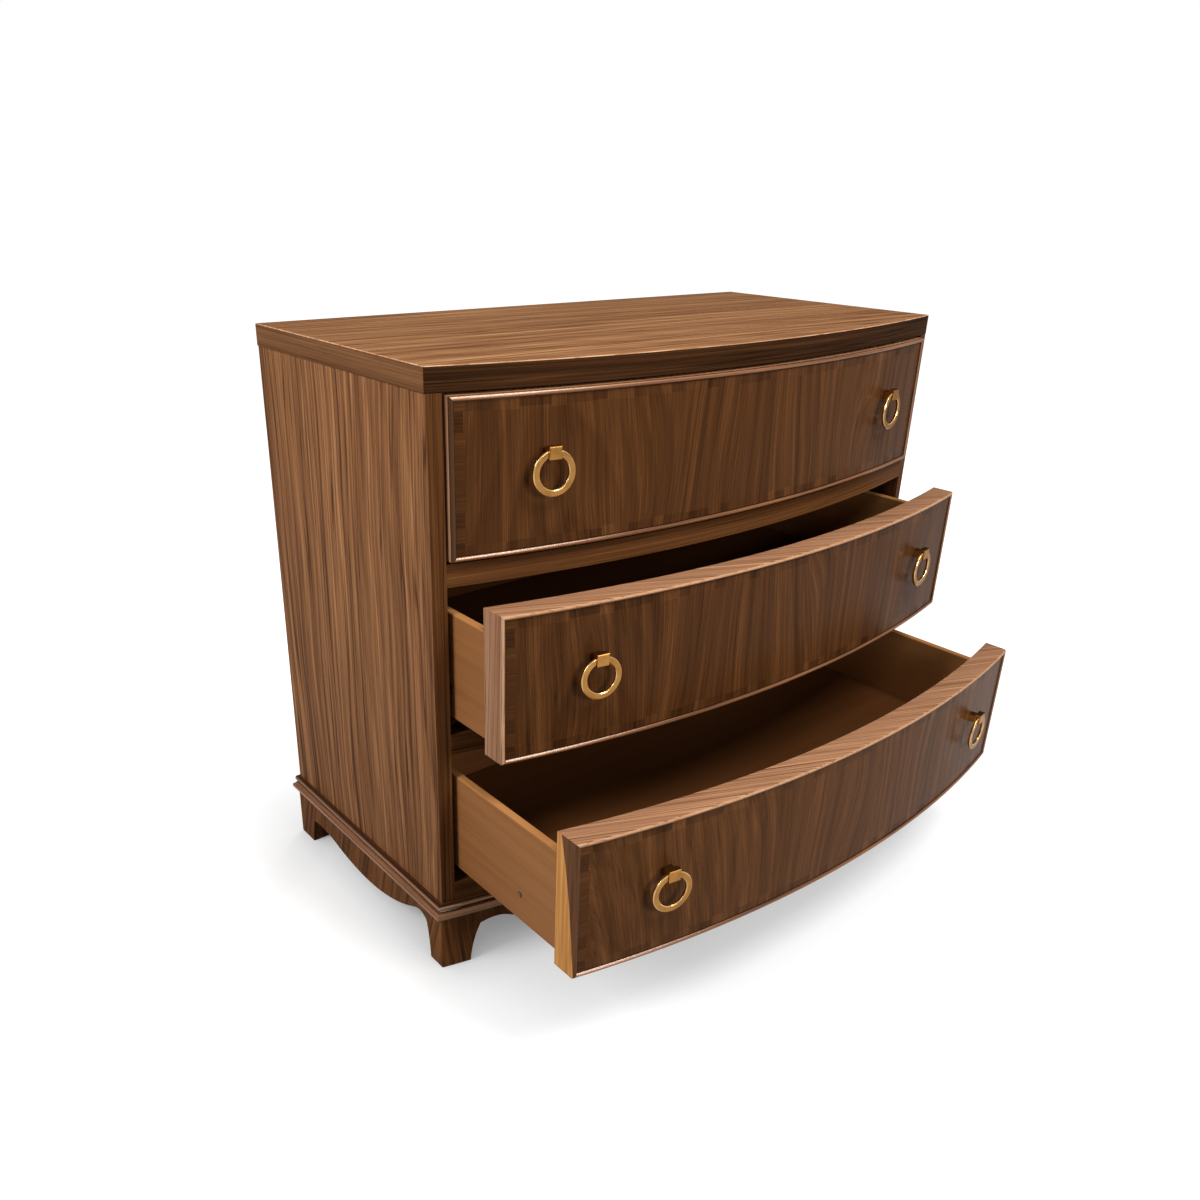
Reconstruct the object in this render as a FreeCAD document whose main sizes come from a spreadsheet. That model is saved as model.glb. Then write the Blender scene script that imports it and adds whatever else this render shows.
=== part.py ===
import FreeCAD, Part
import math
import os
import Sketcher

# Bow-fronted chest of three drawers on a bracket base.
# The frame has +X to the right, the front towards -Y and +Z up from the floor.
# Plans are drawn from the line through the two front corners of the case, y = 0,
# and every piece is then moved back or forth by FRONT_LINE, so that the chest with
# its drawers as far open as they stand is centred over the origin.

DIMENSIONS = (
    ("case_width", 1012, "over the side panels"),
    ("case_depth", 457, "from the front corners to the back"),
    ("bow_rise", 66, "how far the middle of the front bows past the corners"),
    ("top_thickness", 32, "edge of the top"),
    ("top_overhang", 2, "of the top past each side"),
    ("top_edge_round", 1.5, "rounding of the upper edge of the top"),
    ("side_thickness", 20, "side panels"),
    ("stile_width", 20, "front stiles, seen from the front"),
    ("stile_depth", 22, "front stiles, behind the front corners"),
    ("back_thickness", 8, "back panel"),
    ("opening_height", 213, "each drawer opening"),
    ("rail_height", 31, "rails between the drawers"),
    ("bottom_rail_height", 32, "face of the bottom rail above the moulding"),
    ("stretcher_width", 70, "stretchers under the top"),
    ("stretcher_thickness", 18, "stretchers under the top"),
    ("stretcher_setback", 10, "front stretcher behind the stiles"),
    ("base_height", 95, "bracket base below the moulding"),
    ("moulding_height", 20, "base moulding"),
    ("moulding_reach", 15.5, "lower member of the moulding past the case"),
    ("moulding_lower_height", 7, "lower member of the moulding"),
    ("moulding_nose", 3, "rounding under the lower member"),
    ("moulding_lip", 2, "flat on the lower member"),
    ("moulding_hollow_reach", 5, "inner end of the hollow"),
    ("moulding_round_height", 8, "upper rounded member"),
    ("moulding_round_root", 6.5, "where the upper round springs from"),
    ("moulding_round_reach", 9.5, "upper round past the case"),
    ("apron_reach", 4.5, "base boards past the case"),
    ("apron_thickness", 30, "base boards"),
    ("apron_low", 30, "floor to the lowest edge of the base boards"),
    ("front_toe", 44, "front foot at the floor, seen from the front"),
    ("front_flare", 16, "how much the front foot widens up to its shoulder"),
    ("front_shoulder", 64.5, "height of that shoulder"),
    ("front_arch_run", 26, "shoulder to the top of the arch"),
    ("front_arch_height", 69.5, "top of the arch"),
    ("side_toe", 29, "front foot at the floor behind the corner, seen from the side"),
    ("side_flare", 9, "how much the feet widen, seen from the side"),
    ("side_shoulder", 62.5, "height of the front shoulder of the side"),
    ("side_arch_run", 18, "shoulder to the top of the arch of the side"),
    ("side_arch_height", 70.5, "top of the front arch of the side"),
    ("rear_toe", 44, "back foot at the floor, seen from the side"),
    ("rear_shoulder", 45.5, "height of the back shoulder of the side"),
    ("rear_arch_run", 19, "back shoulder to the top of the back arch"),
    ("rear_arch_height", 49, "top of the back arch of the side"),
    ("bracket_thickness", 16, "back bracket boards"),
    ("bracket_toe", 32, "back brackets at the floor, seen from behind"),
    ("bracket_width", 92, "back brackets under the case"),
    ("bracket_tip", 28, "height of the free end of a back bracket"),
    ("block_width", 30, "corner blocks across the chest"),
    ("block_depth", 24, "corner blocks along the chest"),
    ("gap_above", 3, "drawer front below the piece above it"),
    ("gap_below", 4, "drawer front above the rail"),
    ("gap_side", 3.5, "drawer front to each stile"),
    ("front_proud", 8, "bead of a drawer past the face of the case"),
    ("front_thickness", 38, "bead to the inner face of a drawer front"),
    ("bead_width", 7, "bead round a drawer front"),
    ("bead_proud", 3, "bead past the veneered face"),
    ("bead_depth", 15, "bead from its nose into the front"),
    ("bead_bevel", 2.2, "bevels along the bead"),
    ("glue_line", 0.1, "between curved faces that are glued"),
    ("mitre_gap", 0.2, "fine joint between the four lengths of bead"),
    ("box_gap", 7.5, "drawer box to the side of the case"),
    ("box_wall", 12, "drawer sides and back"),
    ("box_raise", 19, "drawer box above the lower edge of the front"),
    ("box_lower", 34, "drawer box below the upper edge of the front"),
    ("box_rear_gap", 19, "closed drawer box to the back panel"),
    ("drawer_bottom_raise", 22, "drawer bottom above the lower edge of the box"),
    ("drawer_bottom_thickness", 6, "drawer bottom"),
    ("groove_depth", 6, "groove for the bottom in a drawer side"),
    ("groove_play", 0.2, "bottom in its groove"),
    ("drawer_2_open", 104, "how far the middle drawer stands open"),
    ("drawer_3_open", 256, "how far the lower drawer stands open"),
    ("slide_setback", 30, "front end of the slides behind the front corners"),
    ("slide_rear_gap", 39, "back end of the slides to the back panel"),
    ("slide_sheet", 1.5, "steel of the slides"),
    ("slide_play", 0.5, "between two members of a slide"),
    ("slide_base", 12, "underside of a slide above the rail"),
    ("slide_flange", 20, "flange of a slide on the side of the case"),
    ("track_gap", 1.5, "outer lip of the case member to the inner face of a drawer side"),
    ("track_width", 26, "case member over its two lips"),
    ("track_lip", 12, "height of the lips of the case member"),
    ("carrier_height", 16, "height of the middle member"),
    ("clip_width", 26, "locking clip under a drawer"),
    ("clip_length", 46, "locking clip under a drawer"),
    ("clip_height", 9, "locking clip under a drawer"),
    ("pull_place", 352, "middle of the chest to the middle of a pull"),
    ("pull_drop", 101, "upper edge of a drawer front to the middle of a ring"),
    ("ring_radius", 30.3, "outer radius of a ring"),
    ("ring_band", 9, "breadth of the band of a ring"),
    ("ring_thickness", 5, "thickness of a ring"),
    ("ring_bevel", 1.2, "bevel along the edges of a ring"),
    ("ring_stand", 15.5, "middle of a hanging ring off the veneer"),
    ("ring_pin_radius", 2.5, "pin on which a ring hangs"),
    ("ring_pin_embed", 1, "pin into the band at each end"),
    ("ring_pin_rise", 24, "pin above the middle of the ring"),
    ("pin_play", 0.3, "round the pin and beside the strap"),
    ("strap_width", 18, "strap over the top of a ring"),
    ("strap_height", 17, "strap over the top of a ring"),
    ("strap_above", 10.3, "top of the strap above the pin"),
    ("strap_depth", 9.5, "strap, front to back"),
    ("strap_front", 20.5, "face of the strap off the veneer"),
    ("strap_bevel", 1, "bevel round the face of the strap"),
    ("stem_width", 14, "stem between the front and the strap"),
    ("stem_height", 12, "stem between the front and the strap"),
    ("bolt_radius", 2, "bolt through the front into the stem"),
    ("bolt_head_radius", 4.5, "head of that bolt"),
    ("bolt_head_height", 2.5, "head of that bolt"),
    ("screw_radius", 2, "screw shanks"),
    ("screw_length", 10, "screw shanks in the wood"),
    ("short_screw_length", 5, "screw shanks in a drawer bottom"),
    ("screw_head_radius", 4, "screw heads"),
    ("screw_head_height", 1.8, "screw heads"),
    ("box_screw_back", 80, "screw of a drawer side behind the drawer front"),
    ("box_screw_rise", 42, "screw of a drawer side above its lower edge"),
)

# The drawers by name, from the top down.
DRAWERS = ("1", "2", "3")
SIDES = {"left": -1, "right": 1}

# Points along the curves, as shares of the run and rise that each curve covers.
QUARTER_ROUND_SHARE = 0.7071
HOLLOW_SHARE = 0.25
ROUND_SHARES = ((0, 0), (0.7, 0.15), (1, 0.5), (0.7, 0.85), (0, 1))
TOE_CURVE_SHARES = (0.36, 0.55)
SHOULDER_CURVE_SHARES = (0.45, 0.72)
ARCH_BEND_SHARE = 0.1
REAR_BEND_SHARE = 0.4
BELLY_SHARE = 0.4845
FRONT_BELLY_SHARE = 0.485
BRACKET_CURVE_SHARES = (0.2, 0.72)
SLIDE_SCREW_SHARES = (0.08, 0.5, 0.92)
STRETCHER_SCREW_SHARE = 0.7

document = FreeCAD.newDocument("BowFrontChest")
sheet = document.addObject("Spreadsheet::Sheet", "Dims")
for row, (alias, millimetres, meaning) in enumerate(DIMENSIONS, start=1):
    sheet.set(f"A{row}", meaning)
    sheet.set(f"B{row}", str(millimetres))
    sheet.setAlias(f"B{row}", alias)
document.recompute()


class Size:
    """A size of the chest: its number, and the expression that binds it to the sheet."""

    def __init__(self, text, value):
        self.text = text
        self.value = value

    def __add__(self, other):
        other = as_size(other)
        return Size(f"({self.text} + {other.text})", self.value + other.value)

    def __sub__(self, other):
        other = as_size(other)
        return Size(f"({self.text} - {other.text})", self.value - other.value)

    def __mul__(self, other):
        other = as_size(other)
        return Size(f"({self.text} * {other.text})", self.value * other.value)

    def __truediv__(self, other):
        other = as_size(other)
        return Size(f"({self.text} / {other.text})", self.value / other.value)

    def __rmul__(self, other):
        return as_size(other) * self

    def __neg__(self):
        return Size(f"(0 - {self.text})", -self.value)


def as_size(thing):
    """A plain number as a Size, and a Size as it is."""
    return thing if isinstance(thing, Size) else Size(repr(float(thing)), float(thing))


def size(alias):
    """The Size of one cell of the sheet."""
    return Size(f"Dims.{alias}", float(sheet.get(alias)))


def root(area):
    """The square root of an area."""
    return Size(f"sqrt({area.text})", math.sqrt(area.value))


def turn_of(sine):
    """The angle in degrees whose sine is given."""
    return Size(f"asin({sine.text})", math.degrees(math.asin(sine.value)))


class Point:
    """A corner of an outline, in the two directions of its sketch."""

    def __init__(self, across, up):
        self.across = as_size(across)
        self.up = as_size(up)

    def vector(self):
        return FreeCAD.Vector(self.across.value, self.up.value, 0)


class Via(Point):
    """A point that the arc between two corners passes through."""


ZERO = as_size(0)
HALF_WIDTH = size("case_width") / 2
BOW_RADIUS = (HALF_WIDTH * HALF_WIDTH + size("bow_rise") * size("bow_rise")) / (2 * size("bow_rise"))
BOW_CENTRE = BOW_RADIUS - size("bow_rise")
FRONT_LINE = (size("bow_rise") + size("front_proud") + size("drawer_3_open") - size("case_depth")) / 2
STILE_INNER = HALF_WIDTH - size("stile_width")
PANEL_INNER = HALF_WIDTH - size("side_thickness")
BACK_FACE = size("case_depth") - size("back_thickness")
CARCASE_BASE = size("base_height")
MOULDING_TOP = size("base_height") + size("moulding_height")
CARCASE_TOP = (MOULDING_TOP + size("bottom_rail_height") + len(DRAWERS) * size("opening_height")
               + (len(DRAWERS) - 1) * size("rail_height"))
APRON_OUTER = HALF_WIDTH + size("apron_reach")
APRON_INNER = APRON_OUTER - size("apron_thickness")
FRONT_HALF = STILE_INNER - size("gap_side")
FRONT_HEIGHT = size("opening_height") - size("gap_above") - size("gap_below")
VENEER = size("front_proud") - size("bead_proud")
FRONT_BACK = size("front_proud") - size("front_thickness")
BOX_OUTER = PANEL_INNER - size("box_gap")
BOX_INNER = BOX_OUTER - size("box_wall")
BOX_HEIGHT = FRONT_HEIGHT - size("box_raise") - size("box_lower")
BOX_END = BACK_FACE - size("box_rear_gap")
BOTTOM_RAISE = size("box_raise") + size("drawer_bottom_raise")
TRACK_INSET = size("box_gap") + size("box_wall") + size("track_gap")
DRAWER_OPEN = {"1": ZERO, "2": size("drawer_2_open"), "3": size("drawer_3_open")}
SLIDE_LENGTH = BACK_FACE - size("slide_setback") - size("slide_rear_gap")


def bow(across, offset=ZERO):
    """The y of the bowed face, moved out by offset, at a distance across from the middle."""
    radius = BOW_RADIUS + offset
    return BOW_CENTRE - root(radius * radius - across * across)


def opening_floor(drawer):
    """The height of the lower edge of a drawer's opening."""
    below = len(DRAWERS) - 1 - DRAWERS.index(drawer)
    pitch = size("opening_height") + size("rail_height")
    return MOULDING_TOP + size("bottom_rail_height") + below * pitch


def rectangle(left, right, low, high):
    """Four corners of a rectangle."""
    return [Point(left, low), Point(right, low), Point(right, high), Point(left, high)]


def bowed_plan(half, front_offset, back):
    """A plan with a bowed front edge and a straight back edge."""
    front = bow(half, front_offset)
    middle = bow(ZERO, front_offset)
    return [Point(-half, back), Point(-half, front), Via(ZERO, middle), Point(half, front),
            Point(half, back)]


def curved_plan(half, front_offset, back_offset):
    """A plan between two arcs of the bow, with its ends square across the chest."""
    front = bow(half, front_offset)
    back = bow(half, back_offset)
    return [Point(-half, back), Point(-half, front), Via(ZERO, bow(ZERO, front_offset)),
            Point(half, front), Point(half, back), Via(ZERO, bow(ZERO, back_offset))]


def edges_of(outline):
    """Each edge of a closed outline, as its start, the point it bends through and its end."""
    start = outline[0]
    via = None
    for entry in outline[1:] + outline[:1]:
        if isinstance(entry, Via):
            via = entry
            continue
        yield start, via, entry
        start = entry
        via = None


def pin_point(sketch, geometry, end, point):
    """Bind one point of a sketch to its two sizes."""
    for direction, distance in (("DistanceX", point.across), ("DistanceY", point.up)):
        constraint = Sketcher.Constraint(direction, -1, 1, geometry, end, distance.value)
        index = sketch.addConstraint(constraint)
        sketch.setExpression(f"Constraints[{index}]", distance.text)


def draw_outline(sketch, outline):
    """Draw one closed outline of lines and arcs."""
    ends = []
    for start, via, end in edges_of(outline):
        if via is None:
            edge = sketch.addGeometry(Part.LineSegment(start.vector(), end.vector()), False)
        else:
            edge = sketch.addGeometry(Part.Arc(start.vector(), via.vector(), end.vector()), False)
            mark = sketch.addGeometry(Part.Point(via.vector()), True)
            pin_point(sketch, mark, 1, via)
            sketch.addConstraint(Sketcher.Constraint("PointOnObject", mark, 1, edge))
        to_first = sketch.getPoint(edge, 1).distanceToPoint(start.vector())
        to_second = sketch.getPoint(edge, 2).distanceToPoint(start.vector())
        first = 1 if to_first < to_second else 2
        pin_point(sketch, edge, first, start)
        ends.append((edge, first, 3 - first))
    for (edge, _, last), (following, first, _) in zip(ends, ends[1:] + ends[:1]):
        sketch.addConstraint(Sketcher.Constraint("Coincident", edge, last, following, first))


def draw_circle(sketch, centre, radius):
    """Draw one circle."""
    normal = FreeCAD.Vector(0, 0, 1)
    circle = sketch.addGeometry(Part.Circle(centre.vector(), normal, radius.value), False)
    pin_point(sketch, circle, 3, centre)
    index = sketch.addConstraint(Sketcher.Constraint("Radius", circle, radius.value))
    sketch.setExpression(f"Constraints[{index}]", radius.text)


def new_body(name):
    """An empty body; pieces that come in sets are separate solids of one body."""
    body = document.addObject("PartDesign::Body", name)
    body.Label = name
    body.AllowCompound = True
    return body


def origin_feature(body, role):
    """A plane or an axis of the body's own origin."""
    return next(item for item in body.Origin.OriginFeatures if item.Role == role)


def new_sketch(body, plane, outlines=(), circles=(), offset=ZERO):
    """A sketch on a plane of the body, moved along the plane's normal by offset."""
    sketch = body.newObject("Sketcher::SketchObject", body.Label + "_sketch")
    sketch.AttachmentSupport = [(origin_feature(body, plane), "")]
    sketch.MapMode = "FlatFace"
    sketch.setExpression("AttachmentOffset.Base.z", offset.text)
    for outline in outlines:
        draw_outline(sketch, outline)
    for centre, radius in circles:
        draw_circle(sketch, centre, radius)
    return sketch


def extrude(body, kind, sketch, length, both_ways=False, reverse=False):
    """A pad or a pocket of a sketch."""
    feature = body.newObject("PartDesign::" + kind, body.Label + "_" + kind.lower())
    feature.Profile = sketch
    feature.setExpression("Length", length.text)
    if both_ways:
        feature.SideType = "Symmetric"
    feature.Reversed = reverse
    body.Tip = feature
    return feature


def pad(body, sketch, length, **ways):
    """Add a sketch's outlines as a solid."""
    return extrude(body, "Pad", sketch, length, **ways)


def pocket(body, sketch, length, **ways):
    """Cut a sketch's outlines out of the solid."""
    return extrude(body, "Pocket", sketch, length, **ways)


def soften(body, kind, measure, faces_wanted):
    """Round or bevel every edge round the faces that the test picks out."""
    document.recompute()
    base = body.Tip
    shape = base.Shape
    wanted = [edge for face in shape.Faces if faces_wanted(face) for edge in face.Edges]
    names = [f"Edge{number}" for number, edge in enumerate(shape.Edges, start=1)
             if any(edge.isSame(other) for other in wanted)]
    feature = body.newObject("PartDesign::" + kind, body.Label + "_" + kind.lower())
    feature.Base = (base, names)
    feature.setExpression("Radius" if kind == "Fillet" else "Size", measure.text)
    body.Tip = feature


def place(piece, across=ZERO, back=ZERO, up=ZERO, turn=ZERO):
    """Set a piece on the plan of the chest at a height."""
    piece.setExpression("Placement.Base.x", across.text)
    piece.setExpression("Placement.Base.y", (FRONT_LINE + back).text)
    piece.setExpression("Placement.Base.z", up.text)
    piece.setExpression("Placement.Rotation.Angle", turn.text)


def board(name, outlines, thickness, up, back=ZERO):
    """Boards cut to their plans, all of one thickness."""
    body = new_body(name)
    pad(body, new_sketch(body, "XY_Plane", outlines), thickness)
    place(body, back=back, up=up)
    return body


def top_panel():
    """The top, flush with the bow of the case and a little wider than the sides."""
    half = HALF_WIDTH + size("top_overhang")
    body = board("top_panel", [bowed_plan(half, ZERO, size("case_depth"))],
                 size("top_thickness"), CARCASE_TOP)
    soften(body, "Fillet", size("top_edge_round"),
           lambda face: face.normalAt(0, 0).z > QUARTER_ROUND_SHARE)
    return body


def side_panel(name, side):
    """One side of the case, behind its stile."""
    inner = side * PANEL_INNER
    outer = side * HALF_WIDTH
    plan = rectangle(inner, outer, size("stile_depth"), size("case_depth"))
    return board(f"side_panel_{name}", [plan], CARCASE_TOP - CARCASE_BASE, CARCASE_BASE)


def stile(name, side):
    """One front stile, whose face follows the bow out to the corner."""
    middle = HALF_WIDTH - size("stile_width") / 2
    plan = [Point(side * STILE_INNER, size("stile_depth")), Point(side * STILE_INNER, bow(STILE_INNER)),
            Via(side * middle, bow(middle)), Point(side * HALF_WIDTH, ZERO),
            Point(side * HALF_WIDTH, size("stile_depth"))]
    return board(f"stile_{name}", [plan], CARCASE_TOP - CARCASE_BASE, CARCASE_BASE)


def rail(name, height, up):
    """A bowed rail between the stiles."""
    return board(name, [bowed_plan(STILE_INNER, ZERO, size("stile_depth"))], height, up)


def top_stretchers():
    """Two stretchers that hold the top and tie the sides together."""
    front = size("stile_depth") + size("stretcher_setback")
    plans = [rectangle(-PANEL_INNER, PANEL_INNER, front, front + size("stretcher_width")),
             rectangle(-PANEL_INNER, PANEL_INNER, BACK_FACE - size("stretcher_width"), BACK_FACE)]
    thickness = size("stretcher_thickness")
    return board("top_stretchers", plans, thickness, CARCASE_TOP - thickness)


def bottom_panel():
    """The bottom of the case, behind the bottom rail."""
    plan = rectangle(-PANEL_INNER, PANEL_INNER, size("stile_depth"), BACK_FACE)
    return board("bottom_panel", [plan], size("moulding_height"), CARCASE_BASE)


def back_panel():
    """The back of the case, let in between the sides."""
    plan = rectangle(-PANEL_INNER, PANEL_INNER, BACK_FACE, size("case_depth"))
    return board("back_panel", [plan], CARCASE_TOP - CARCASE_BASE, CARCASE_BASE)


def moulding_profile(place_of):
    """The section of the base moulding, its rounds in flats; place_of sets a reach past the case."""
    reach = size("moulding_reach")
    nose = size("moulding_nose")
    lower = size("moulding_lower_height")
    lip = reach - size("moulding_lip")
    root_reach = size("moulding_round_root")
    round_base = size("moulding_height") - size("moulding_round_height")
    hollow = size("moulding_hollow_reach")
    hollow_across = hollow + HOLLOW_SHARE * (lip - hollow)
    hollow_up = lower + HOLLOW_SHARE * (round_base - lower)
    nose_across = reach - nose + QUARTER_ROUND_SHARE * nose
    nose_up = nose - QUARTER_ROUND_SHARE * nose
    round_depth = size("moulding_round_reach") - root_reach
    upper_round = [Point(place_of(root_reach + across * round_depth),
                         round_base + up * size("moulding_round_height"))
                   for across, up in ROUND_SHARES]
    return [Point(place_of(ZERO), ZERO), Point(place_of(reach - nose), ZERO),
            Point(place_of(nose_across), nose_up), Point(place_of(reach), nose),
            Point(place_of(reach), lower), Point(place_of(lip), lower),
            Point(place_of(hollow_across), hollow_up), Point(place_of(hollow), round_base),
            *upper_round, Point(place_of(ZERO), size("moulding_height"))]


def mitre_triangle(side, back_origin, keep_front):
    """A triangle on one side of the mitre between the front and side mouldings."""
    reach = size("moulding_reach")
    outer_across = HALF_WIDTH + reach
    outer_back = bow(outer_across, reach)
    low = HALF_WIDTH - reach
    high = outer_across + reach
    far_back = -outer_back
    far_front = 2 * outer_back
    corner = Point(side * high, far_back - back_origin)
    if not keep_front:
        corner = Point(side * low, far_front - back_origin)
    return [Point(side * low, far_back - back_origin), Point(side * high, far_front - back_origin), corner]


def moulding_front():
    """The base moulding across the bow, mitred at both corners."""
    body = new_body("moulding_front")
    profile = new_sketch(body, "YZ_Plane", [moulding_profile(lambda reach: -(BOW_RADIUS + reach))])
    turned = body.newObject("PartDesign::Revolution", "moulding_front_turned")
    turned.Profile = profile
    turned.ReferenceAxis = (origin_feature(body, "Z_Axis"), [""])
    overrun = size("moulding_reach") + size("moulding_reach") / 2
    turned.setExpression("Angle", (2 * turn_of((HALF_WIDTH + overrun) / BOW_RADIUS)).text)
    turned.Midplane = True
    body.Tip = turned
    ends = [mitre_triangle(side, BOW_CENTRE, True) for side in SIDES.values()]
    pocket(body, new_sketch(body, "XY_Plane", ends), 4 * size("moulding_height"), both_ways=True)
    place(body, back=BOW_CENTRE, up=CARCASE_BASE)
    return body


def moulding_side(name, side):
    """The base moulding along one side, mitred at the front."""
    body = new_body(f"moulding_{name}")
    profile = moulding_profile(lambda reach: side * (HALF_WIDTH + reach))
    start = size("moulding_reach")
    sketch = new_sketch(body, "XZ_Plane", [profile], offset=start)
    pad(body, sketch, size("case_depth") + start, reverse=True)
    corner = new_sketch(body, "XY_Plane", [mitre_triangle(side, ZERO, False)])
    pocket(body, corner, 4 * size("moulding_height"), both_ways=True)
    place(body, up=CARCASE_BASE)
    return body


def easing(start, finish, forward):
    """The middle of an arc that leaves start level and ends at finish."""
    run = forward * (finish.across - start.across)
    rise = finish.up - start.up
    chord = root(run * run + rise * rise)
    return Via(start.across + forward * chord / 2, start.up + chord * (chord - run) / (2 * rise))


def foot_edge(toe, flare, shoulder, arch_run, arch_height, belly, bend_share, forward):
    """The lower edge of a base board from a toe, over its arch and down to the belly."""
    low = size("apron_low")
    across_share, up_share = TOE_CURVE_SHARES
    top_across_share, top_up_share = SHOULDER_CURVE_SHARES
    neck = toe + forward * flare
    crown = Point(neck + forward * arch_run, arch_height)
    lowest = Point(belly, low)
    bend = Point(crown.across + bend_share * (belly - crown.across),
                 arch_height + bend_share * (low - arch_height))
    return [Point(toe, ZERO),
            Via(toe + across_share * forward * flare, up_share * shoulder),
            Point(neck, shoulder),
            Via(neck + top_across_share * forward * arch_run,
                shoulder + top_up_share * (arch_height - shoulder)),
            crown,
            easing(crown, bend, forward),
            bend,
            easing(lowest, bend, -forward),
            lowest]


def apron_front():
    """The front board of the base, bowed, with its feet, arches and long flat belly."""
    body = new_body("apron_front")
    outer = size("apron_reach")
    inner = outer - size("apron_thickness")
    plan = [Point(-APRON_INNER, bow(APRON_INNER, inner)), Point(-APRON_OUTER, bow(APRON_OUTER, outer)),
            Via(ZERO, bow(ZERO, outer)), Point(APRON_OUTER, bow(APRON_OUTER, outer)),
            Point(APRON_INNER, bow(APRON_INNER, inner)), Via(ZERO, bow(ZERO, inner))]
    pad(body, new_sketch(body, "XY_Plane", [plan]), size("base_height"))
    toe = APRON_OUTER - size("front_toe")
    belly = FRONT_BELLY_SHARE * HALF_WIDTH
    halves = [foot_edge(side * toe, size("front_flare"), size("front_shoulder"),
                        size("front_arch_run"), size("front_arch_height"), side * belly,
                        ARCH_BEND_SHARE, -side) for side in (-1, 1)]
    edge = halves[0] + halves[1][::-1]
    pocket(body, new_sketch(body, "XZ_Plane", [edge]), size("case_depth"), both_ways=True)
    place(body)
    return body


def apron_side(name, side):
    """The side board of the base, with a high arch at the front and a low one at the back."""
    body = new_body(f"apron_{name}")
    inner_front = bow(APRON_INNER, size("apron_reach") - size("apron_thickness"))
    plan = [Point(side * APRON_OUTER, bow(APRON_OUTER, size("apron_reach"))),
            Point(side * APRON_OUTER, size("case_depth")),
            Point(side * APRON_INNER, size("case_depth")),
            Point(side * APRON_INNER, inner_front)]
    pad(body, new_sketch(body, "XY_Plane", [plan]), size("base_height"))
    belly = BELLY_SHARE * size("case_depth")
    front = foot_edge(size("side_toe"), size("side_flare"), size("side_shoulder"),
                      size("side_arch_run"), size("side_arch_height"), belly, ARCH_BEND_SHARE, 1)
    rear = foot_edge(size("case_depth") - size("rear_toe"), size("side_flare"),
                     size("rear_shoulder"), size("rear_arch_run"), size("rear_arch_height"),
                     belly, REAR_BEND_SHARE, -1)
    edge = front + rear[:-1][::-1]
    pocket(body, new_sketch(body, "YZ_Plane", [edge]), 2 * size("case_width"), both_ways=True)
    place(body)
    return body


def rear_brackets():
    """Two curved brackets that return the back feet across the back."""
    body = new_body("rear_brackets")
    outlines = []
    curve_across, curve_up = BRACKET_CURVE_SHARES
    for side in SIDES.values():
        toe = APRON_INNER - size("bracket_toe")
        tip = APRON_INNER - size("bracket_width")
        tip_height = size("base_height") - size("bracket_tip")
        outlines.append([Point(side * APRON_INNER, ZERO), Point(side * toe, ZERO),
                         Via(side * (toe + curve_across * (tip - toe)), curve_up * tip_height),
                         Point(side * tip, tip_height), Point(side * tip, size("base_height")),
                         Point(side * APRON_INNER, size("base_height"))])
    pad(body, new_sketch(body, "XZ_Plane", outlines), size("bracket_thickness"))
    place(body, back=size("case_depth"))
    return body


def corner_blocks():
    """Four blocks glued into the corners of the base."""
    plans = []
    inner = size("apron_reach") - size("apron_thickness")
    rear = size("case_depth") - size("bracket_thickness")
    for side in SIDES.values():
        far = APRON_INNER - size("block_width")
        middle = APRON_INNER - size("block_width") / 2
        front_end = bow(far, inner) + size("apron_thickness")
        plans.append([Point(side * APRON_INNER, bow(APRON_INNER, inner)),
                      Via(side * middle, bow(middle, inner)), Point(side * far, bow(far, inner)),
                      Point(side * far, front_end), Point(side * APRON_INNER, front_end)])
        plans.append(rectangle(side * APRON_INNER, side * far, rear - size("block_depth"), rear))
    return board("corner_blocks", plans, size("base_height"), ZERO)


def slide_section(side, steps):
    """A bent sheet's section from its steps in from the side of the case and up."""
    return [Point(side * (PANEL_INNER - inward), up) for inward, up in steps]


def case_member_steps():
    """The case member: a flange on the side, a floor, and two lips that keep the carrier in line."""
    sheet_steel = size("slide_sheet")
    low = size("slide_base")
    floor = low + sheet_steel
    near = TRACK_INSET
    far = near + size("track_width")
    lip = low + size("track_lip")
    return [(ZERO, low), (far, low), (far, lip), (far - sheet_steel, lip), (far - sheet_steel, floor),
            (near + sheet_steel, floor), (near + sheet_steel, lip), (near, lip), (near, floor),
            (sheet_steel, floor), (sheet_steel, low + size("slide_flange")),
            (ZERO, low + size("slide_flange"))]


def channel_steps(near, far, low, high):
    """A channel of bent sheet, open above."""
    sheet_steel = size("slide_sheet")
    return [(near, low), (far, low), (far, high), (far - sheet_steel, high),
            (far - sheet_steel, low + sheet_steel), (near + sheet_steel, low + sheet_steel),
            (near + sheet_steel, high), (near, high)]


def carrier_span():
    """The outer faces of the middle member, measured in from the side of the case."""
    clear = size("slide_sheet") + size("slide_play")
    near = TRACK_INSET + clear
    return near, near + size("track_width") - 2 * clear


def carrier_floor():
    """The underside of the middle member above the floor of its opening."""
    return size("slide_base") + size("slide_sheet") + size("slide_play")


def drawer_member_steps():
    """The drawer member: a plate under the drawer bottom, with two legs inside the carrier."""
    sheet_steel = size("slide_sheet")
    clear = sheet_steel + size("slide_play")
    near, far = carrier_span()
    top = size("gap_below") + BOTTOM_RAISE
    foot = carrier_floor() + clear
    leg_near = near + clear
    leg_far = far - clear
    return [(leg_near, foot), (leg_near + sheet_steel, foot), (leg_near + sheet_steel, top - sheet_steel),
            (leg_far - sheet_steel, top - sheet_steel), (leg_far - sheet_steel, foot),
            (leg_far, foot), (leg_far, top), (leg_near, top)]


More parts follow.
